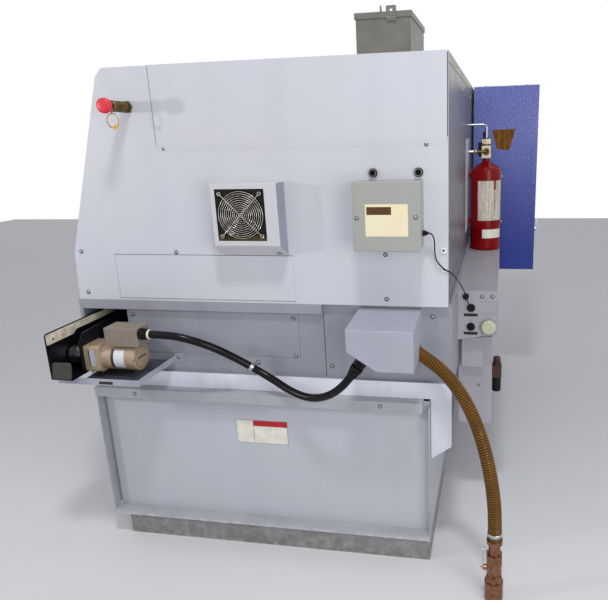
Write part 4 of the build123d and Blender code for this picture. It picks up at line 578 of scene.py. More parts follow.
cable_route = [
    (0.03, 0.594, 1.185), (0.03, 0.606, 1.185), (0.027, 0.613, 1.16), (0.022, 0.612, 1.126),
    (0.015, 0.616, 1.096), (0.008, 0.64, 1.068), (0.002, 0.663, 1.056), (-0.026, 0.672, 1.036),
    (-0.078, 0.682, 1.006), (-0.132, 0.692, 0.968), (-0.182, 0.7, 0.926), (-0.222, 0.708, 0.882),
    (-0.246, 0.711, 0.8605), (-0.275, 0.711, 0.8605),
]


def cord_piece(node, name, route, step, section, guide, finish, diameter, far_end, **facts):
    """A hose or lead as a tube carried along the smooth line; its section may change with the run."""
    line, run = smooth_line(name, route, step)
    rings = section(run)
    size = np.linalg.norm(rings, axis=2)
    valley = ((size.max() - size) / max(np.ptp(size), 1e-9)).ravel()
    obj = piece(name, [carried(line, rings, guide)], finish, angle=60, replaces=node, valley=valley)
    length = round(float(run_along(line)[-1]), 4)
    return obj, line, dict(exit=route[0], length=length, diameter=diameter, far_end=far_end,
                           path=line.tolist(), **facts)


def hose_section(run):
    """Radius of the spiral hose: crown - depth * valley(run / pitch - turn) ^ 1.1, a ridge that winds round.
    """
    crown, depth, pitch, count = 0.0225, 0.0024, 0.008, 28
    turn = np.linspace(0, 2 * pi, count, endpoint=False)
    valley = 0.5 - 0.5 * np.cos(2 * pi * run[:, None] / pitch - turn)
    return (crown - depth * valley ** 1.1)[..., None] * circle(count)


def conduit_section(run):
    """Radius of the sheathed conduit: 13 mm, with the coil inside showing as a 0.15 mm ripple."""
    ripple = 0.5 - 0.5 * np.cos(2 * pi * run / 0.006)
    return (0.013 - 0.00015 * ripple)[:, None, None] * circle(24)


def lead_section(run):
    """A twin lead: radius 1.5 + 1.0 * |cos a| mm, two round cores side by side."""
    rim = circle(16)
    return np.broadcast_to((0.0015 + 0.001 * np.abs(rim[:, :1])) * rim, (len(run), *rim.shape))


conduit, conduit_line, conduit_facts = cord_piece(
    "motor_conduit", "conduit_sheath", conduit_route, 0.0015, conduit_section, END_X, conduit_skin, 0.026,
    "object", stiffness="stiff", lay="hanging")
hose, hose_line, hose_facts = cord_piece(
    "coolant_hose", "hose_spiral", hose_route, 0.0009, hose_section, END_X, amber_hose, 0.045,
    "fitting", stiffness="stiff", lay="hanging")
lead, _, lead_facts = cord_piece(
    "sensor_cable", "lead_twin", cable_route, 0.003, lead_section, unit((0.3, 0.6, 0.75)), cable_skin, 0.005,
    "object", stiffness="medium", lay="hanging")


def sleeve(line, first, last, size, count):
    """A sleeve carried along a cord's own line from one run to another, its radius size(share of the way)."""
    run = run_along(line)
    inside = (run >= first) & (run <= last)
    share = (run[inside] - first) / (last - first)
    return carried(line[inside], size(share)[:, None, None] * circle(count), END_X)


# Fasteners


def stepped(rim, rows):
    """Rings about the origin as (u, v, n): radius * rim at each height of the rows (radius, height)."""
    return np.stack([np.c_[radius * rim, np.full(len(rim), height)] for radius, height in rows])


def on_washer(head, washer):
    """A head's rings and those of the washer under it as one set of arrays, closed below."""
    rings = np.concatenate((head, stepped(circle(head.shape[1]), washer)))
    rows, count = rings.shape[:2]
    return rings.reshape(-1, 3), grid(rows, count, wrap_columns=True), end_caps(count, rows)[1:]


def pan_head(radius=0.0052, height=0.003, thick=0.0009):
    """A pan-head screw: height * sqrt(1 - t^4) over the head, less a cross recess cut by position,
    on a washer disc; drawn about the origin in (u, v, n)."""
    share = np.array([0, 0.12, 0.24, 0.36, 0.46, 0.56, 0.68, 0.8, 0.9, 0.97, 1.0])[:, None]
    flat = radius * share[..., None] * circle(24)
    arm = np.abs(flat).min(-1) < radius * 0.16
    dome = height * np.sqrt(1 - share ** 4) - 0.55 * height * (arm & (share < 0.6))
    head = np.concatenate((flat, dome[..., None] + thick), -1)
    rim = 1.42 * radius
    return on_washer(head, [(radius, thick), (1.36 * radius, thick), (rim, 0.0005), (rim, 0.0)])


def hex_head(radius=0.008, height=0.0055, thick=0.0012):
    """A hexagon bolt head whose corners are eased, on a thin washer."""
    head = stepped(hexagon(24), [(0.0, height), (0.8 * radius, height), (0.93 * radius, height * 0.93),
                                 (radius, height * 0.8), (radius, thick)])
    return on_washer(head, [(1.25 * radius, thick), (1.3 * radius, 0.0008), (1.3 * radius, 0.0)])


PAN_HEAD = pan_head()


def fasteners(name, places, normal=END_X, shape=PAN_HEAD, finish=zinc):
    """A set of the same screws on one plane; the washers are darker, as painted shade round each head."""
    screws = piece(name, [copies(shape, places, axes_for(normal))], finish, angle=28)
    washer_top = 0.00095
    level = float(np.dot(unit(normal), places[0])) + washer_top
    second_finish(screws, washer_shade, lambda *spot: np.tensordot(unit(normal), spot, 1) < level)


def at_x(x, *pairs):
    """Places in one plane square to the machine's length, from pairs (y, z)."""
    return [(x, y, z) for y, z in pairs]


def plate(name, centre, normal, size, finish, slot, corner=0.001, thick=0.0005):
    """A thin label, bar or plate: a rounded oblong given a thickness."""
    return piece(name, [slab(oblong(*size, corner, 4), centre, normal, thick)], finish, slot)


# Faces of the machine that screws, labels and seams lie on
COVER_X = 0.0
PANEL_X = -0.016
RECESS_X = -0.018
CONNECTOR_X = -0.290
PUMP_SIDE_X = -0.350
CABINET_X = -1.470
FRAME_X = 0.040
BOX_LID_X = 0.100
REAR_WALL_Y = 0.6515

fasteners("end_cover_screws", at_x(
    COVER_X, (-0.2635, 1.4531), (0.5868, 1.4476), (0.4535, 1.1111), (0.4536, 0.9657), (-0.6197, 1.1137),
    (-0.2626, 1.1135), (-0.6175, 0.9683)))
fasteners("mid_plate_screws", at_x(
    PANEL_X, (-0.468, 0.8872), (0.1277, 0.8868), (0.1279, 0.7539), (-0.468, 0.7539)))
fasteners("mid_panel_screws", at_x(RECESS_X, (0.6, 0.905), (0.255, 0.72)))
fasteners("frame_screws", at_x(FRAME_X, (-0.4688, 0.6045), (0.4285, 0.6065)))
fasteners("lid_screws", at_x(BOX_LID_X, (0.3893, 1.2404), (0.566, 1.2426)), shape=pan_head(0.0046, 0.003))
fasteners("skirt_screw", [(0.0213, 0.1111, 1.1152)], unit((0.53, 0, -0.85)), pan_head(0.0056, 0.003))
fasteners("roof_screws", [(x, y, 1.7055) for x in np.linspace(-2.04, -0.06, 8) for y in (-0.262, 0.628)],
          UP_Z)
fasteners("rear_roof_screws", [(x, 0.653, 1.638) for x in (-1.86, -1.2435, -0.6265)], REAR_Y)
fasteners("tray_tab_screw", [(-0.015, -0.311, 0.7293)], shape=pan_head(0.005, 0.003))
fasteners("strip_screws", [(0.2046, -0.6155, 0.8643), (0.0216, -0.6155, 0.86)], REAR_Y,
          pan_head(0.0032, 0.0012), yellow_zinc)
fasteners("strap_bolts", [(-1.14, 0.8118, z) for z in (1.2716, 1.0554)], REAR_Y, hex_head(0.0055, 0.0042))
fasteners("connector_studs", at_x(CONNECTOR_X, (0.7498, 0.9023), (0.7874, 0.9031)),
          shape=pan_head(0.0052, 0.0026))
fasteners("pump_side_screws", at_x(PUMP_SIDE_X, (0.7276, 0.6305), (0.7403, 0.532)),
          shape=pan_head(0.0034, 0.002))
fasteners("cabinet_roof_bolts", [(x, y, 1.703) for x in (-2.0, -1.52) for y in (0.72, 0.93)], UP_Z,
          hex_head())

# Housing, base and tank

refined("end_cover", "end_cover_pan", housing_paint, 0.0015)
access = refined("access_plates", "access_plates_cut", housing_paint, 0.0006)
second_finish(access, recess_grey_and_shade, lambda x, y, z: z < 0.93)
refined("front_frame", "front_skin", housing_paint, 0.0008)
walls = refined("enclosure_shell", "rear_and_far_walls", housing_paint, 0.0008)
# The walls' faces that look to the rear take the darker rear grey: painted shade.
second_finish(walls, rear_shade_grey, lambda x, y, z: (y > 0.6505) & (x < -0.002))
cap = refined("roof_cover", "roof_cap", housing_paint, 0.0006)
# The cap's faces that look to the rear take the same painted shade.
second_finish(cap, rear_shade_grey, lambda x, y, z: (y > 0.6518) & (x < -0.002))
cover = refined("fan_cover", "fan_cover_folded", cover_paint, 0.0014)
# The cover's side that looks to the rear takes the darker recess grey: painted shade.
second_finish(cover, recess_grey_and_shade, lambda x, y, z: y > 0.1332)
tank = refined("coolant_tank", "tank_welded", tank_paint, 0.0025)
second_finish(tank, skid_paint, lambda x, y, z: z < 0.099)
refined("base_pedestal", "pedestal_casting", pedestal_paint, 0.006, segments=3)
for node, name, finish, fold in (
    ("hose_cover", "hose_hood", hood_paint, 0.0018),
    ("mid_panel", "recess_sheets", recess_grey_and_shade, 0.0005),
    ("base_end_panel", "apron_sheet", apron_lit_paint, 0.0008),
    ("base_deck", "deck_box", recess_grey_and_shade, 0.002),
    ("levelling_feet", "feet_turned", zinc, 0.0012),
    ("tank_frame", "tank_end_frame", frame_paint, 0.001),
    ("junction_box", "junction_box_shell", box_paint, 0.0016),
    ("junction_box_lid", "junction_lid", box_paint, 0.0012),
    ("roof_box", "roof_box_folded", roof_box_paint, 0.0015),
):
    refined(node, name, finish, fold)
# The label's fields lie on one another: its dark edge, the paper, then a red field and a rule.
for name, centre, size, finish, corner, thick in (
    ("tank_label_edge", (0.0, -0.0135, 0.4625), (0.192, 0.09), ink_black, 0.001, 0.0003),
    ("tank_label", (0.0003, -0.0135, 0.4625), (0.19, 0.088), paper_label, 0.001, 0.0002),
    ("tank_label_red", (0.0005, 0.019, 0.4955), (0.125, 0.021), red_label, 0.0005, 0.0002),
    ("tank_label_rule", (0.0005, -0.0445, 0.462), (0.0012, 0.086), ink_black, 0.0004, 0.0002),
):
    plate(name, centre, END_X, size, finish, "tank_paint", corner, thick)


def flat_ring(outer, inner, centre, axes, back, front):
    """A flat ring between two outlines of as many points each, joined in the order outer back, outer
    front, inner front, inner back."""
    across, over, normal = axes
    rows = [(outer, back), (outer, front), (inner, front), (inner, back)]
    points = np.stack([centre + height * normal + laid(rim, across, over) for rim, height in rows])
    return points.reshape(-1, 3), grid(4, len(outer), True, True)


def pierced_plate(outer, centre, normal, thick, hole, at):
    """A flat tab with one round hole, whose rim's points are set out from the hole's own middle."""
    outer = np.asarray(outer, float)
    turn = np.arctan2(outer[:, 1] - at[1], outer[:, 0] - at[0])
    inner = hole * spokes(turn) + at
    return flat_ring(outer, inner, centre, axes_for(normal), 0.0, thick)


tab_at = np.array([-0.2958, 0.4395, 1.864])
tab = pierced_plate(oblong(0.034, 0.046, 0.004, 8), tab_at, END_X, 0.0022, 0.0062, (0.0, 0.008))
piece("roof_box_tab", [tab], roof_box_paint, "roof_grey", bevel=0.0004)
fasteners("roof_box_rivets", at_x(-0.2936, (0.4325, 1.85), (0.4465, 1.85)), shape=pan_head(0.0028, 0.0014))


def seam(name, corners, width, finish=seam_shade, normal=END_X):
    """Thin strips from corner to corner: painted shade in the gap where two sheets meet."""
    strips, thick = [], 0.0004
    for start, end in zip(corners, corners[1:]):
        start, end = np.asarray(start, float), np.asarray(end, float)
        side = np.cross(normal, unit(end - start)) * width / 2
        strips.append(prism(np.array([start - side, end - side, end + side, start + side]), thick * normal))
    piece(name, strips, finish, "black_rubber", angle=30)


# These strips are painted shade in gaps and joints; the grey ones are the lighter shade of joints lit from
# the front.
seam("door_plate_gap", at_x(
    COVER_X, (0.1475, 1.1048), (-0.4927, 1.1048), (-0.4927, 0.9513), (0.1475, 0.9513)), 0.0018)
seam("roof_cap_gap", at_x(COVER_X, (-0.2862, 1.7035), (-0.2862, 1.4625)), 0.0036, seam_grey)
seam("rear_wall_fold", [(x, REAR_WALL_Y, 1.012) for x in (-0.03, -1.9)], 0.0034, normal=REAR_Y)
seam("rear_wall_foot", [(x, REAR_WALL_Y, 0.9465) for x in (-0.03, -1.9)], 0.005, normal=REAR_Y)
seam("rear_corner_gap", at_x(0.0015, (0.6505, 1.7), (0.6505, 1.466)), 0.0028)
seam("recess_gap", at_x(RECESS_X, (0.2335, 0.908), (0.2335, 0.682)), 0.0024)
seam("tank_left_gap_shade", at_x(0.0002, (-0.6192, 0.13), (-0.6192, 0.6)), 0.0096, seam_grey)
seam("brow_gap", at_x(-0.03, (0.6522, 0.955), (0.6522, 1.672)), 0.002, normal=REAR_Y)
HOOD_SIDE_Y = -0.284
HOOD_DEPTH = 0.9335
ramp = [(x, HOOD_SIDE_Y, z) for x, z in ((0.0001, 1.44), (0.0021, 1.464), (0.0016, 1.48), (0.0001, 1.464))]
piece("roof_joint_filler", [prism(np.array(ramp), HOOD_DEPTH * REAR_Y)], housing_paint, "housing_paint")

# Fan

FAN = np.array([0.07, 0.011, 1.246])
CORNERS = [cos(a) * REAR_Y + sin(a) * UP_Z for a in np.arange(4) * pi / 2 + pi / 4]
EYE_REACH = 0.0935


def wire_ring(radius, wire, centre, count=56):
    """A round wire bent to a circle: centre + radius * (cos a, sin a), with a round section."""
    path = centre + radius * laid(circle(count), REAR_Y, UP_Z)
    return carried(path, wire * circle(8), END_X, closed=True)


def stay(direction):
    """A guard stay: a wire along one diagonal that bows forward and ends in an eye at each corner."""
    half = 0.0885
    reach = np.linspace(-half, half, 33)
    bow = 0.0022 - 0.0016 * (reach / half) ** 4
    path = FAN + reach[:, None] * direction + bow[:, None] * END_X
    return carried(path, 0.0012 * circle(8), END_X)


guard_rings = [wire_ring(0.0062 + 0.0067 * i, 0.0011, FAN + 0.0002 * END_X) for i in range(11)]
eyes = [wire_ring(0.0052, 0.0012, FAN + 0.0006 * END_X + EYE_REACH * corner, 20) for corner in CORNERS]
piece("guard_of_rings", guard_rings + [stay(CORNERS[0]), stay(CORNERS[1])] + eyes, bright_wire, angle=50,
      replaces="fan_guard")
fasteners("guard_screws", [FAN - 0.002 * END_X + EYE_REACH * corner for corner in CORNERS],
          shape=pan_head(0.0034, 0.0022), finish=yellow_zinc)
refined("fan_body", "fan_casting", fan_black, 0.0012)


def blade(angle):
    """One fan blade: at radius r its chord is set at pitch 50 - 18 s degrees and cambered by
    chord * 0.08 * sin(pi t), where s runs root to tip and t along the chord; then given a thickness."""
    rows, columns = 9, 13
    s = np.linspace(0, 1, rows)[:, None]
    t = np.linspace(0, 1, columns)[None, :]
    radius = 0.026 + 0.0475 * s + 0 * t
    chord = 0.03 + 0.03 * s
    pitch = np.radians(50 - 18 * s)
    along = (t - 0.5) * chord
    camber = 0.08 * chord * np.sin(pi * t)
    swing = along * np.cos(pitch) - camber * np.sin(pitch)
    depth = along * np.sin(pitch) + camber * np.cos(pitch)
    turn = angle + 0.28 * s + swing / radius
    middle, half_thick = FAN[0] - 0.0233, 0.0008
    y, z = FAN[1] + radius * np.cos(turn), FAN[2] + radius * np.sin(turn)
    layers = [np.stack((middle + depth + side, y, z), -1) for side in (-half_thick, half_thick)]
    return leaf(layers, rows, columns)


hub = turned([(0, -0.0352), (0.0262, -0.0352), (0.027, -0.034), (0.027, -0.008), (0.0258, -0.0064),
              (0.012, -0.0055), (0, -0.0053)], FAN, END_X, 48)
piece("fan_impeller", [hub] + [blade(a) for a in np.arange(7) * 2 * pi / 7], fan_black, angle=40,
      replaces="fan_rotor")
# A black sheet behind the impeller: painted shade inside the fan's opening.
piece("fan_back_shade", [slab(oblong(0.146, 0.146, 0.004), FAN - 0.0545 * END_X, END_X, 0.004)], fan_black,
      "black_plastic")

# Junction box, plugs, glands

plate("box_label", (BOX_LID_X, 0.479, 1.2335), END_X, (0.128, 0.095), cream_label, "box_paint")
plate("box_label_field", (0.1005, 0.4565, 1.2615), END_X, (0.074, 0.023), brown_field, "box_paint",
      0.0005, 0.0003)


def ribbed(start, axis, length, outer, inner, ribs, count=40):
    """A moulded strain relief: a taper from outer to inner radius that swells at each of its ribs."""
    run = np.linspace(0, 1, 14 * ribs + 1)
    radius = outer + (inner - outer) * run ** 1.4 + 0.06 * outer * np.cos(2 * pi * ribs * run)
    return turned([(0, 0), *zip(radius, run * length), (0, length)], start, axis, count)


def gland_nut(start, axis, radius, length):
    """A six-sided gland nut with rounded ends."""
    rows = [(0.0, 0), (0.9, 0), (1.0, 0.08), (1.0, 0.9), (0.9, 1.0), (0.0, 1.0)]
    return turned([(radius * share, length * height) for share, height in rows], start, axis, hexagon(36))


def hood_gland_size(share):
    """Radius of the gland over the conduit's end: 20.5 mm over the nut, then 17.8 mm with four ribs that
    taper to 14.8 mm."""
    nut = 0.0205 - 0.0012 * (np.abs(share - 0.22) > 0.19)
    ribs = 0.0178 - 0.003 * (share - 0.45) / 0.55 + 0.001 * np.cos(2 * pi * 4 * (share - 0.45) / 0.55)
    return np.where(share < 0.45, nut, ribs)


def clamp_band(first, last, thick):
    """A strip clamp round the hose: a thin band with rounded edges, carried along the hose's own line."""
    def size(share):
        way = np.linspace(0, 1, len(share))
        return 0.0228 + thick * np.clip(8 * np.minimum(way, 1 - way), 0, 1)
    return sleeve(hose_line, first, last, size, 40)


PLUG_PLACES = at_x(COVER_X, (0.4225, 1.365), (0.563, 1.365))
plug = [(0, 0.003), (0.006, 0.003), (0.0068, 0.008), (0.01, 0.0092), (0.0126, 0.0084), (0.0138, 0.003),
        (0.0142, 0.0), (0, 0)]
plug_rim = [(0.0086, 0.0086), (0.0092, 0.01), (0.0104, 0.0104), (0.0114, 0.0098), (0.0118, 0.0082),
            (0.0086, 0.0086)]
motor_gland_at = np.array([0.14, -0.345, 0.868])
box_gland_at = np.array([0.03, 0.577, 1.185])
piece("black_glands", [turned(plug, place, END_X, 40) for place in PLUG_PLACES] + [
    gland_nut(motor_gland_at, REAR_Y, 0.0205, 0.012),
    ribbed(motor_gland_at + 0.012 * REAR_Y, REAR_Y, 0.0165, 0.0182, 0.015, 3),
    gland_nut(gland_root, hood_skew, 0.0195, 0.03),
    gland_nut(box_gland_at, REAR_Y, 0.0095, 0.007),
    ribbed(box_gland_at + 0.007 * REAR_Y, REAR_Y, 0.0105, 0.0075, 0.004, 3, 24),
], black_rubber, angle=45, replaces="cable_glands")
piece("plug_rims", [turned(plug_rim, place, END_X, 40) for place in PLUG_PLACES], worn_grey, "black_plastic")
cream_ring = [(0.0128, 0), (0.0152, 0), (0.0158, 0.0012), (0.0158, 0.0052), (0.0152, 0.0064),
              (0.0128, 0.0064), (0.0128, 0)]
piece("conduit_cream_ring", [turned(cream_ring, motor_gland_at + 0.03 * REAR_Y, REAR_Y, 40)], cream_nylon,
      "black_rubber")
piece("hood_gland", [sleeve(conduit_line[::-1], 0.002, 0.04, hood_gland_size, 28)], black_rubber,
      "black_rubber", angle=40)
hose_end = hose_facts["length"]
piece("hose_clamp", [clamp_band(0.02, 0.031, 0.0008), clamp_band(hose_end - 0.026, hose_end - 0.013, 0.0011)],
      zinc, "amber_hose")


def strap_clip(line, near, foot):
    """A clip of flat strip: once round the conduit, square to its line, then a leg to a foot on the
    panel. The strip is a thin rectangle carried along circle and leg."""
    at = int(np.argmin(np.linalg.norm(line - near, axis=1)))
    along = unit(line[at + 4] - line[at - 4])
    to_panel = unit(-END_X - along * np.dot(-END_X, along))
    side = np.cross(to_panel, along)
    turn = np.radians(np.linspace(28, 332, 40))
    loop = line[at] + 0.0138 * laid(spokes(turn), to_panel, side)
    leg = loop[-1] + np.linspace(0.15, 1, 8)[:-1, None] * (foot - loop[-1])
    path = np.concatenate((loop, leg, [foot], [foot + 0.012 * unit(side - END_X * side[0])]))
    section = np.array([(-0.006, -0.0007), (0.006, -0.0007), (0.006, 0.0007), (-0.006, 0.0007)])
    tangent = np.gradient(path, axis=0)
    over = np.cross(tangent, along)
    over /= np.linalg.norm(over, axis=1)[:, None]
    points = path[:, None] + laid(section, along, over[:, None])
    return points.reshape(-1, 3), grid(len(path), 4, wrap_columns=True), end_caps(4, len(path))


clip_foot = np.array([-0.0172, -0.008, 0.715])
piece("conduit_clip", [strap_clip(conduit_line, (0.031, -0.018, 0.724), clip_foot)], zinc)
fasteners("clip_screw", [(-0.0165, -0.013, 0.7235)])

CLIP_BASES = [(0.0, 0.6379, 1.1264), (0.0, 0.6391, 1.0672)]
base = slab(oblong(0.018, 0.018, 0.002), (0, 0, 0), UP_Z, 0.004, (END_X, REAR_Y, UP_Z))
piece("adhesive_clips", [copies(base, CLIP_BASES, (REAR_Y, UP_Z, END_X))], white_plastic, "black_plastic",
      bevel=0.0008)
fasteners("adhesive_clip_rivets", [np.array(place) + 0.004 * END_X for place in CLIP_BASES],
          shape=pan_head(0.0026, 0.0012), finish=blackened)

# Pull station

refined("pull_body", "pull_brass_body", brass, 0.0012)
PULL = np.array([0.0, -0.372, 1.583])


def knurled_sleeve(first, last, radius, deep, around, along):
    """A knurled sleeve: radius - deep * hollow, where hollow = max(0, cos(n a) * cos(pi m t) - 0.15) makes
    staggered pits, and both ends close down on the axis."""
    turn = np.linspace(0, 2 * pi, 8 * around, endpoint=False)[None, :]
    t = np.linspace(0, 1, 8 * along + 1)[:, None]
    pit = np.clip(np.cos(around * turn) * np.cos(pi * along * t) - 0.15, 0, 1)
    ends = np.clip(np.minimum(t, 1 - t) * 30, 0, 1)
    size = np.concatenate((0 * turn, radius - deep * pit * ends, 0 * turn))
    place = np.concatenate((0 * turn + first, first + (last - first) * t + 0 * turn, 0 * turn + last))
    points = np.stack((PULL[0] + place, PULL[1] + size * np.cos(turn), PULL[2] + size * np.sin(turn)), -1)
    return points.reshape(-1, 3), grid(len(size), turn.size, wrap_columns=True)


piece("pull_knurl", [knurled_sleeve(0.017, 0.052, 0.0166, 0.0016, 18, 12)], brass, "old_brass", angle=50)
knob = [(0, 0.107), (0.017, 0.1075), (0.022, 0.1092), (0.0229, 0.1125), (0.0229, 0.119), (0.0216, 0.1243),
        (0.0192, 0.1268), (0.015, 0.128), (0.008, 0.1285), (0, 0.1286)]
stem = [(0, 0.066), (0.005, 0.066), (0.005, 0.1075), (0, 0.1075)]
piece("pull_mushroom", [turned(knob, PULL, END_X, 56), turned(stem, PULL, END_X, 24)], knob_red, angle=40,
      replaces="pull_knob")

PIN = np.array([0.074, -0.3791, 1.583])
OVAL = PIN + (0.0012, 0.001, -0.0425)


def oval_ring(count=80):
    """The pin's ring: a wire along centre + 19.6 mm * cos a across + 21 mm * sin a up, leaned 8 degrees."""
    turn = np.linspace(0, 2 * pi, count, endpoint=False)
    lean = radians(8)
    across = 0.0196 * np.cos(turn)
    up = 0.021 * np.sin(turn)
    path = OVAL + np.stack((0.0006 * np.cos(2 * turn), across * cos(lean) - up * sin(lean),
                            across * sin(lean) + up * cos(lean)), -1)
    return carried(path, 0.0016 * circle(10), END_X, closed=True)


pin_shank = turned([(0, -0.024), (0.0026, -0.0225), (0.0026, -0.0195), (0.0015, -0.0185), (0.0015, 0.0185),
                    (0.001, 0.02), (0, 0.02)], PIN, UP_Z, 20)
piece("pin_and_ring", [pin_shank, oval_ring()], gold_wire, angle=50, replaces="safety_pin")
tag_rim = oblong(0.015, 0.013, 0.003) @ np.array([[cos(0.5), sin(0.5)], [-sin(0.5), cos(0.5)]])
tag_at = OVAL + (0.0002, 0.006, -0.0205)
piece("pin_tag", [pierced_plate(tag_rim, tag_at, END_X, 0.0016, 0.0021, (0.002, -0.0004))], tag_yellow,
      slots["safety_pin"], 0.0003, body="pin")

# Conveyor

trough = refined("conveyor_frame", "trough_plates", oiled_black, 0.0004)
second_finish(trough, wear_cream, lambda x, y, z: (y > -0.6205) & (y < -0.6155) & (z > 0.849))
refined("conveyor_belt", "belt_hinged", turned_steel, 0.0)
refined("drive_roller", "roller_turned", turned_steel, 0.001)
tray = refined("conveyor_tray", "tray_folded", tray_paint, 0.0006)
# The tray's floor takes the dark grey: painted shade inside the tray.
second_finish(tray, tray_floor_shade, lambda x, y, z: (z > 0.7165) & (z < 0.7185) & (x < 0.206))
refined("terminal_box", "terminal_box_cast", terminal_paint, 0.0)
motor = refined("gearmotor", "gearmotor_cast", motor_paint, 0.0015)
second_finish(motor, ink_black, lambda x, y, z: (y > -0.3665) & (y < -0.3645) & (np.abs(z - 0.782) < 0.0024))
piece("chip_flap", [slab(oblong(0.0715, 0.056, 0.008), (0.2285, -0.5835, 0.763), unit((1, 0, 0.16)), 0.003)],
      flap_rubber, "black_rubber", bevel=0.0006)
for name, centre, normal, size, finish, slot, thick in (
    ("tray_slot", (0.21, -0.446, 0.7195), END_X, (0.049, 0.0095), ink_black, "black_plate", 0.0003),
    ("gearhead_label", (0.165, -0.515, 0.787), END_X, (0.018, 0.058), pale_film, "motor_paint", 0.0003),
    ("terminal_slot", (0.137, -0.386, 0.89), UP_Z, (0.012, 0.003), ink_black, "terminal_paint", 0.0003),
):
    plate(name, centre, normal, size, finish, slot, thick=thick)
plate("gearhead_label_edge", (0.165, -0.527, 0.787), END_X, (0.003, 0.058), ink_black, "motor_paint", 0.0005,
      0.0004)

# Hose valve

for node, finish in (("hose_valve", bronze), ("valve_lever", zinc)):
    nodes[node].data.materials.clear()
    nodes[node].data.materials.append(finish)

# Rear

refined("rear_duct", "duct_folded", duct_paint, 0.0012)
refined("pump_cabinet", "pump_box_folded", duct_paint, 0.0012)
sockets = refined("connector_sockets", "socket_bodies", black_nylon, 0.0012)
second_finish(sockets, dome_cream, lambda x, y, z: (y > 0.74) & (x > -0.2825))
lens = [(0, 0)] + [(0.0262 * cos(a), 0.0105 * sin(a)) for a in np.linspace(0, pi / 2, 12)]
piece("beacon_lens", [turned(lens, (-0.279, 0.775, 0.79), END_X, 48)], dome_cream, "black_plastic", angle=50)
refined("selector_knob", "selector_moulded", black_nylon, 0.0012)
for bar, z in (("upper_bar", 0.8325), ("lower_bar", 0.762)):
    plate(bar, (CONNECTOR_X, 0.71, z), END_X, (0.051, 0.011), ink_black, "black_plastic", 0.001, 0.0004)
# A grey outline: painted shade along the pressed edge.
seam("connector_pressing", at_x(CONNECTOR_X, (0.745, 0.883), (0.805, 0.883), (0.805, 0.84), (0.745, 0.84)),
     0.0016, seam_grey)
regulator = refined("air_regulator", "regulator_body", copper, 0.0015)
second_finish(regulator, black_nylon, lambda x, y, z: z < 0.5605)

BOTTLE = np.array([-1.14, 0.7376, 0.0])
BOTTLE_RADIUS = 0.0725
NECK_RADIUS = 0.018
NECK_Z = 1.353
# The shoulder falls in from the wall to the neck by 3 t^2 - 2 t^3.
fall = BOTTLE_RADIUS - NECK_RADIUS
foot = [(0, 0.9262), (0.045, 0.9245), (0.0645, 0.924), (0.07, 0.9264), (0.0722, 0.9305)]
wall = [(BOTTLE_RADIUS, z) for z in np.linspace(0.936, 1.3, 14)]
rise = np.linspace(0, 1, 15)
shoulder = [(BOTTLE_RADIUS - fall * (3 * t * t - 2 * t ** 3), 1.304 + 0.041 * t) for t in rise]
bottle_profile = foot + wall + shoulder + [(NECK_RADIUS, NECK_Z), (0, NECK_Z)]
piece("bottle_lacquered", [turned(bottle_profile, BOTTLE, UP_Z, 96)], bottle_red, angle=50, replaces="bottle")


def wrapped(name, finish, slot, centre, axes, radius, turn, run, columns=40, rows=18, thick=0.0003):
    """A label round a cylinder: centre + run * axis + (radius + thickness) * (cos a * u + sin a * v), with
    turn in degrees."""
    across, over, along = axes
    rim = laid(spokes(np.radians(np.linspace(*turn, columns))), across, over)
    height = np.linspace(*run, rows)[:, None, None]
    layers = [centre + height * along + reach * rim for reach in (radius, radius + thick)]
    piece(name, [leaf(layers, rows, columns)], finish, slot, angle=40)


upright = (END_X, REAR_Y, UP_Z)
for name, finish, radius, turn, run, columns, rows, thick in (
    ("bottle_label", stained_label, 0.07252, (-29, 76), (1.066, 1.255), 40, 18, 0.0003),
    ("bottle_lower_label", paper_label, 0.07252, (-10, 74), (0.984, 1.026), 40, 6, 0.0003),
    ("bottle_rust", rust_run, 0.07285, (31, 43), (1.214, 1.255), 10, 8, 0.0002),
):
    wrapped(name, finish, "bottle_red", BOTTLE, upright, radius, turn, run, columns, rows, thick)
MOTOR = np.array([0.12, 0.0, 0.782])
lying = (END_X, UP_Z, REAR_Y)
wrapped("motor_label", white_label, "motor_paint", MOTOR, lying, 0.04503, (-38, 44), (-0.439, -0.402))
wrapped("motor_band", ink_black, "motor_paint", MOTOR, lying, 0.04503, (-42, 47), (-0.449, -0.44), 40, 4)
bracket = refined("bottle_bracket", "bracket_and_straps", cover_paint, 0.0006)
second_finish(bracket, bottle_red, lambda x, y, z: y > 0.656)
valve = refined("bottle_valve", "valve_head", black_nylon, 0.0014)
second_finish(valve, zinc, lambda x, y, z: y < 0.712)
second_finish(valve, brass, lambda x, y, z: x > -1.1215)
collar = [(0.0165, 1.358), (0.0215, 1.359), (0.0225, 1.364), (0.0225, 1.376), (0.0215, 1.38),
          (0.0165, 1.3805), (0.0165, 1.358)]
piece("valve_cream_blocks", [turned(collar, BOTTLE, UP_Z, 48),
                             gland_nut(BOTTLE + 1.4215 * UP_Z, UP_Z, 0.0235, 0.0245)],
      cream_fitting, "old_brass", angle=40)
piece("valve_white_body", [slab(oblong(0.042, 0.0575, 0.005), (-1.15, 0.7376, 1.3865), END_X, 0.046)],
      cream_fitting, "old_brass", bevel=0.0025)
piece("valve_black_body", [slab(oblong(0.02, 0.066, 0.003), (-1.16, 0.7095, 1.398), END_X, 0.034),
                           slab(oblong(0.013, 0.044, 0.003), (-1.148, 0.7275, 1.457), END_X, 0.012)],
      black_nylon, "black_plastic", bevel=0.002)
rod = [(0, 0), (0.0055, 0), (0.0055, 0.045), (0, 0.045)]
piece("valve_stem", [turned(rod, (-1.099, 0.6925, 1.3885), REAR_Y, 20)], brass, "old_brass")
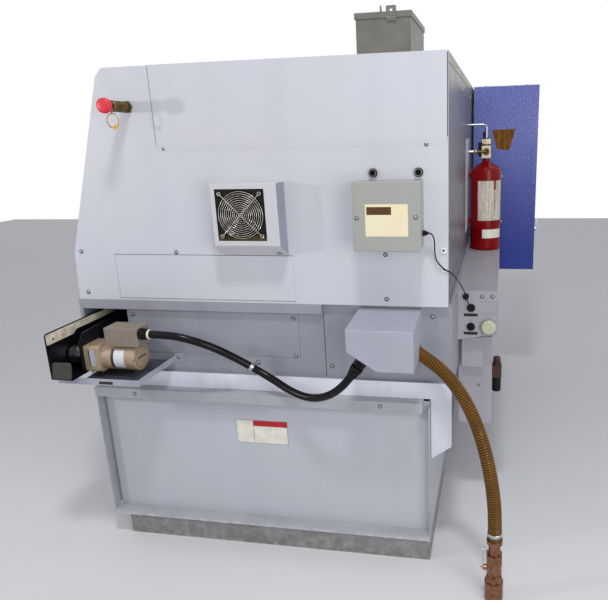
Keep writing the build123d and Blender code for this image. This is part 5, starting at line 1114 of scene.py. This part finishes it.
boss = [(0, -0.006), (0.0095, -0.006), (0.0095, 0.0045), (0.008, 0.006), (0.0045, 0.006), (0.004, 0.003),
        (0, 0.003)]
piece("valve_boss", [turned(boss, (-1.104, 0.7376, 1.388), END_X, 28)], black_nylon, "black_plastic")
refined("discharge_tube", "discharge_elbow", zinc, 0.0)

# Electrical cabinet

refined("electrical_cabinet", "cabinet_carcass", hammer_blue, 0.003, segments=3)
refined("cabinet_door", "cabinet_door_leaf", hammer_blue, 0.004, segments=3)
refined("cabinet_latch", "latch_handle", zinc, 0.0018)
refined("drive_rack", "drive_cases", circuit_grey, 0.002)
patch = np.array(at_x(CABINET_X, (0.757, 1.486), (0.88, 1.49), (0.847, 1.383), (0.785, 1.389)))
piece("amber_patch", [prism(patch, 0.0006 * END_X)], amber_film, "blue_hammer")

# Front side

LEAN = radians(17.25)
SLOPE = np.array([0, sin(LEAN), cos(LEAN)])
OUT = np.array([0, -cos(LEAN), sin(LEAN)])
FRONT = np.array([0, -0.647, 1.11])
FRONT_AXES = (END_X, SLOPE, OUT)
PANEL_FACE = -0.032


def on_front(x, up, out=0.0):
    """A point on the leaning front: along X, up its slope and out from its face."""
    return FRONT + x * END_X + up * SLOPE + out * OUT


refined("cabin_door", "door_leaf", housing_paint, 0.0, whole=False)
refined("control_panel", "panel_face", cover_paint, 0.0012)


def on_panel(name, x, up, size, finish, out, thick, corner, slot="panel_black", **more):
    """A rounded oblong lying on the leaning front: size along X and up the slope."""
    shape = slab(oblong(*size, corner, 5), on_front(x, up, out), OUT, thick, FRONT_AXES)
    piece(name, [shape], finish, slot, **more)


def key_bank(name, left, low, columns, rows, pitch, size, finish, out=-0.031):
    """Rows of moulded keys: one eased oblong copied over a grid of places."""
    places = [on_front(left + pitch[0] * i, low + pitch[1] * j, out)
              for i in range(columns) for j in range(rows)]
    key = slab(oblong(*size, 0.002, 4), (0, 0, 0), UP_Z, 0.0034, (END_X, REAR_Y, UP_Z))
    piece(name, [copies(key, places, FRONT_AXES)], finish, "black_plastic", bevel=0.0007)


on_panel("monitor_bezel", -0.36, 0.4, (0.33, 0.21), key_plastic, -0.033, 0.004, 0.008, bevel=0.0012)
on_panel("monitor_glass", -0.36, 0.4, (0.27, 0.164), screen_glass, -0.029, 0.0012, 0.004)
on_panel("soft_key_rail", -0.36, 0.3085, (0.29, 0.017), circuit_grey, -0.029, 0.001, 0.003)
on_panel("letter_field", -0.465, 0.236, (0.18, 0.08), circuit_grey, PANEL_FACE, 0.001, 0.004)
on_panel("mode_field", -0.24, 0.236, (0.22, 0.08), circuit_grey, PANEL_FACE, 0.001, 0.004)
key_bank("soft_keys", -0.488, 0.3085, 9, 1, (0.032, 0.02), (0.02, 0.01), key_plastic, -0.028)
key_bank("letter_keys", -0.541, 0.21, 8, 4, (0.0217, 0.0174), (0.0165, 0.013), key_plastic)
key_bank("mode_keys", -0.333, 0.21, 6, 3, (0.023, 0.026), (0.0175, 0.0175), key_plastic)
key_bank("start_keys", -0.19, 0.21, 1, 2, (0.02, 0.048), (0.022, 0.022), green_cap)
key_bank("hold_keys", -0.156, 0.21, 1, 2, (0.02, 0.048), (0.022, 0.022), amber_cap)
dial = [(0, 0), (0.019, 0), (0.019, 0.003), (0.015, 0.005), (0.0135, 0.018), (0.0125, 0.02), (0, 0.02)]
DIALS_X = (-0.345, -0.265)
piece("override_dials", [turned(dial, on_front(x, 0.12, PANEL_FACE), OUT, 40) for x in DIALS_X], black_nylon,
      "black_plastic", angle=40)
pointer = oblong(0.0022, 0.011, 0.0005, 3)
piece("dial_pointers", [slab(pointer, on_front(x, 0.126, -0.0119), OUT, 0.0006, FRONT_AXES) for x in DIALS_X],
      white_plastic, "black_plastic")
for name, inner, outer, thick, x, up, count, finish, slot in (
    ("stop_collar", 0.0225, 0.033, 0.0016, -0.16, 0.13, 48, amber_cap, "black_plastic"),
    ("wheel_plate", 0.01, 0.052, 0.0014, -0.49, 0.14, 64, ground_steel, "bright_steel"),
):
    ring = [(inner, 0), (outer, 0), (outer, thick), (inner, thick), (inner, 0)]
    piece(name, [turned(ring, on_front(x, up, PANEL_FACE), OUT, count)], finish, slot)
panel_corners = [on_front(x, up, PANEL_FACE) for x in (-0.578, -0.112) for up in (0.074, 0.526)]
fasteners("panel_screws", panel_corners, OUT, pan_head(0.004, 0.0024))
WINDOW = (-1.07, 0.3)
on_panel("window_pane", *WINDOW, (0.436, 0.296), window_glass, -0.016, 0.004, 0.004, "panel_paint",
         body="door")
gasket = flat_ring(oblong(0.4396, 0.2996, 0.004, 8), oblong(0.424, 0.284, 0.008, 8), on_front(*WINDOW),
                   FRONT_AXES, -0.019, -0.0026)
piece("window_gasket", [gasket], black_rubber, "black_rubber", 0.0006, body="door")
# A dark strip: painted shade in the gap along the door rail.
seam("door_rail_gap", [on_front(x, 0.018) for x in (-2.0, -0.66)], 0.0024, normal=OUT)
fasteners("front_screws", [on_front(x, up) for x in (-2.03, -1.48, -0.05) for up in (0.05, 0.3, 0.56)], OUT)
refined("handwheel", "wheel_moulded", black_nylon, 0.002)
refined("e_stop_button", "stop_button", knob_red, 0.002)

# Inner parts

for node, name, finish, fold in (
    ("machine_bed", "bed_casting", casting_paint, 0.004),
    ("headstock", "headstock_casting", casting_paint, 0.004),
    ("sub_spindle_head", "sub_head_casting", casting_paint, 0.004),
    ("main_spindle", "main_spindle_turned", turned_steel, 0.0015),
    ("sub_spindle", "sub_spindle_turned", turned_steel, 0.0015),
    ("guide_bush", "guide_bush_turned", ground_steel, 0.0012),
    ("cross_slide", "slide_ground", ground_steel, 0.0015),
    ("gang_tool_post", "tool_block", blackened, 0.0012),
):
    refined(node, name, finish, fold)

# Floor and light

REACH = 9.0
floor_mesh = bpy.data.meshes.new("studio_floor")
floor_mesh.from_pydata([(-REACH, -REACH, 0), (REACH, -REACH, 0), (REACH, REACH, 0), (-REACH, REACH, 0)], [],
                       [(0, 1, 2, 3)])
floor = bpy.data.objects.new("studio_floor", floor_mesh)
scene.collection.objects.link(floor)
floor_mesh.materials.append(surface("studio_floor_paint", "#E4E4E6", (0.6, 0.7), (900, "#E0E0E3", 0.5)))


def lamp(name, place, aim, size, power):
    """A square area lamp that looks at a point."""
    data = bpy.data.lights.new(name, "AREA")
    data.size = size
    data.energy = power
    holder = bpy.data.objects.new(name, data)
    holder.location = place
    holder.visible_camera = False
    holder.rotation_euler = (Vector(aim) - Vector(place)).to_track_quat("-Z", "Y").to_euler()
    scene.collection.objects.link(holder)


lamp("key", (1.25, -1.98, 1.6), (0.0, -0.2, 1.4), 0.12, 11)
lamp("overhead", (1.5, 0.75, 4.2), (-0.4, 0.1, 0.9), 0.4, 48)
lamp("right_fill", (1.7, 1.9, 1.3), (0.0, 0.3, 0.8), 1.3, 20)

# The world: white to the camera and in mirrors and glass, dimmer and cooler as a light
world = bpy.data.worlds.new("studio")
scene.world = world
world.use_nodes = True
tree = world.node_tree
tree.nodes.clear()
rays = add(tree, "LightPath").outputs
seen = rays["Is Camera Ray"]
for kind in ("Is Glossy Ray", "Is Transmission Ray"):
    seen = add(tree, "Math", {"operation": "MAXIMUM"}, at_0=seen, at_1=rays[kind]).outputs[0]
soft = add(tree, "Background", Color=linear("#F2F4FA"), Strength=0.46).outputs[0]
plain = add(tree, "Background", Color=(1, 1, 1, 1), Strength=1.0).outputs[0]
mixed = add(tree, "MixShader", at_0=seen, at_1=soft, at_2=plain).outputs[0]
add(tree, "OutputWorld", Surface=mixed)
scene.view_settings.view_transform = "Standard"
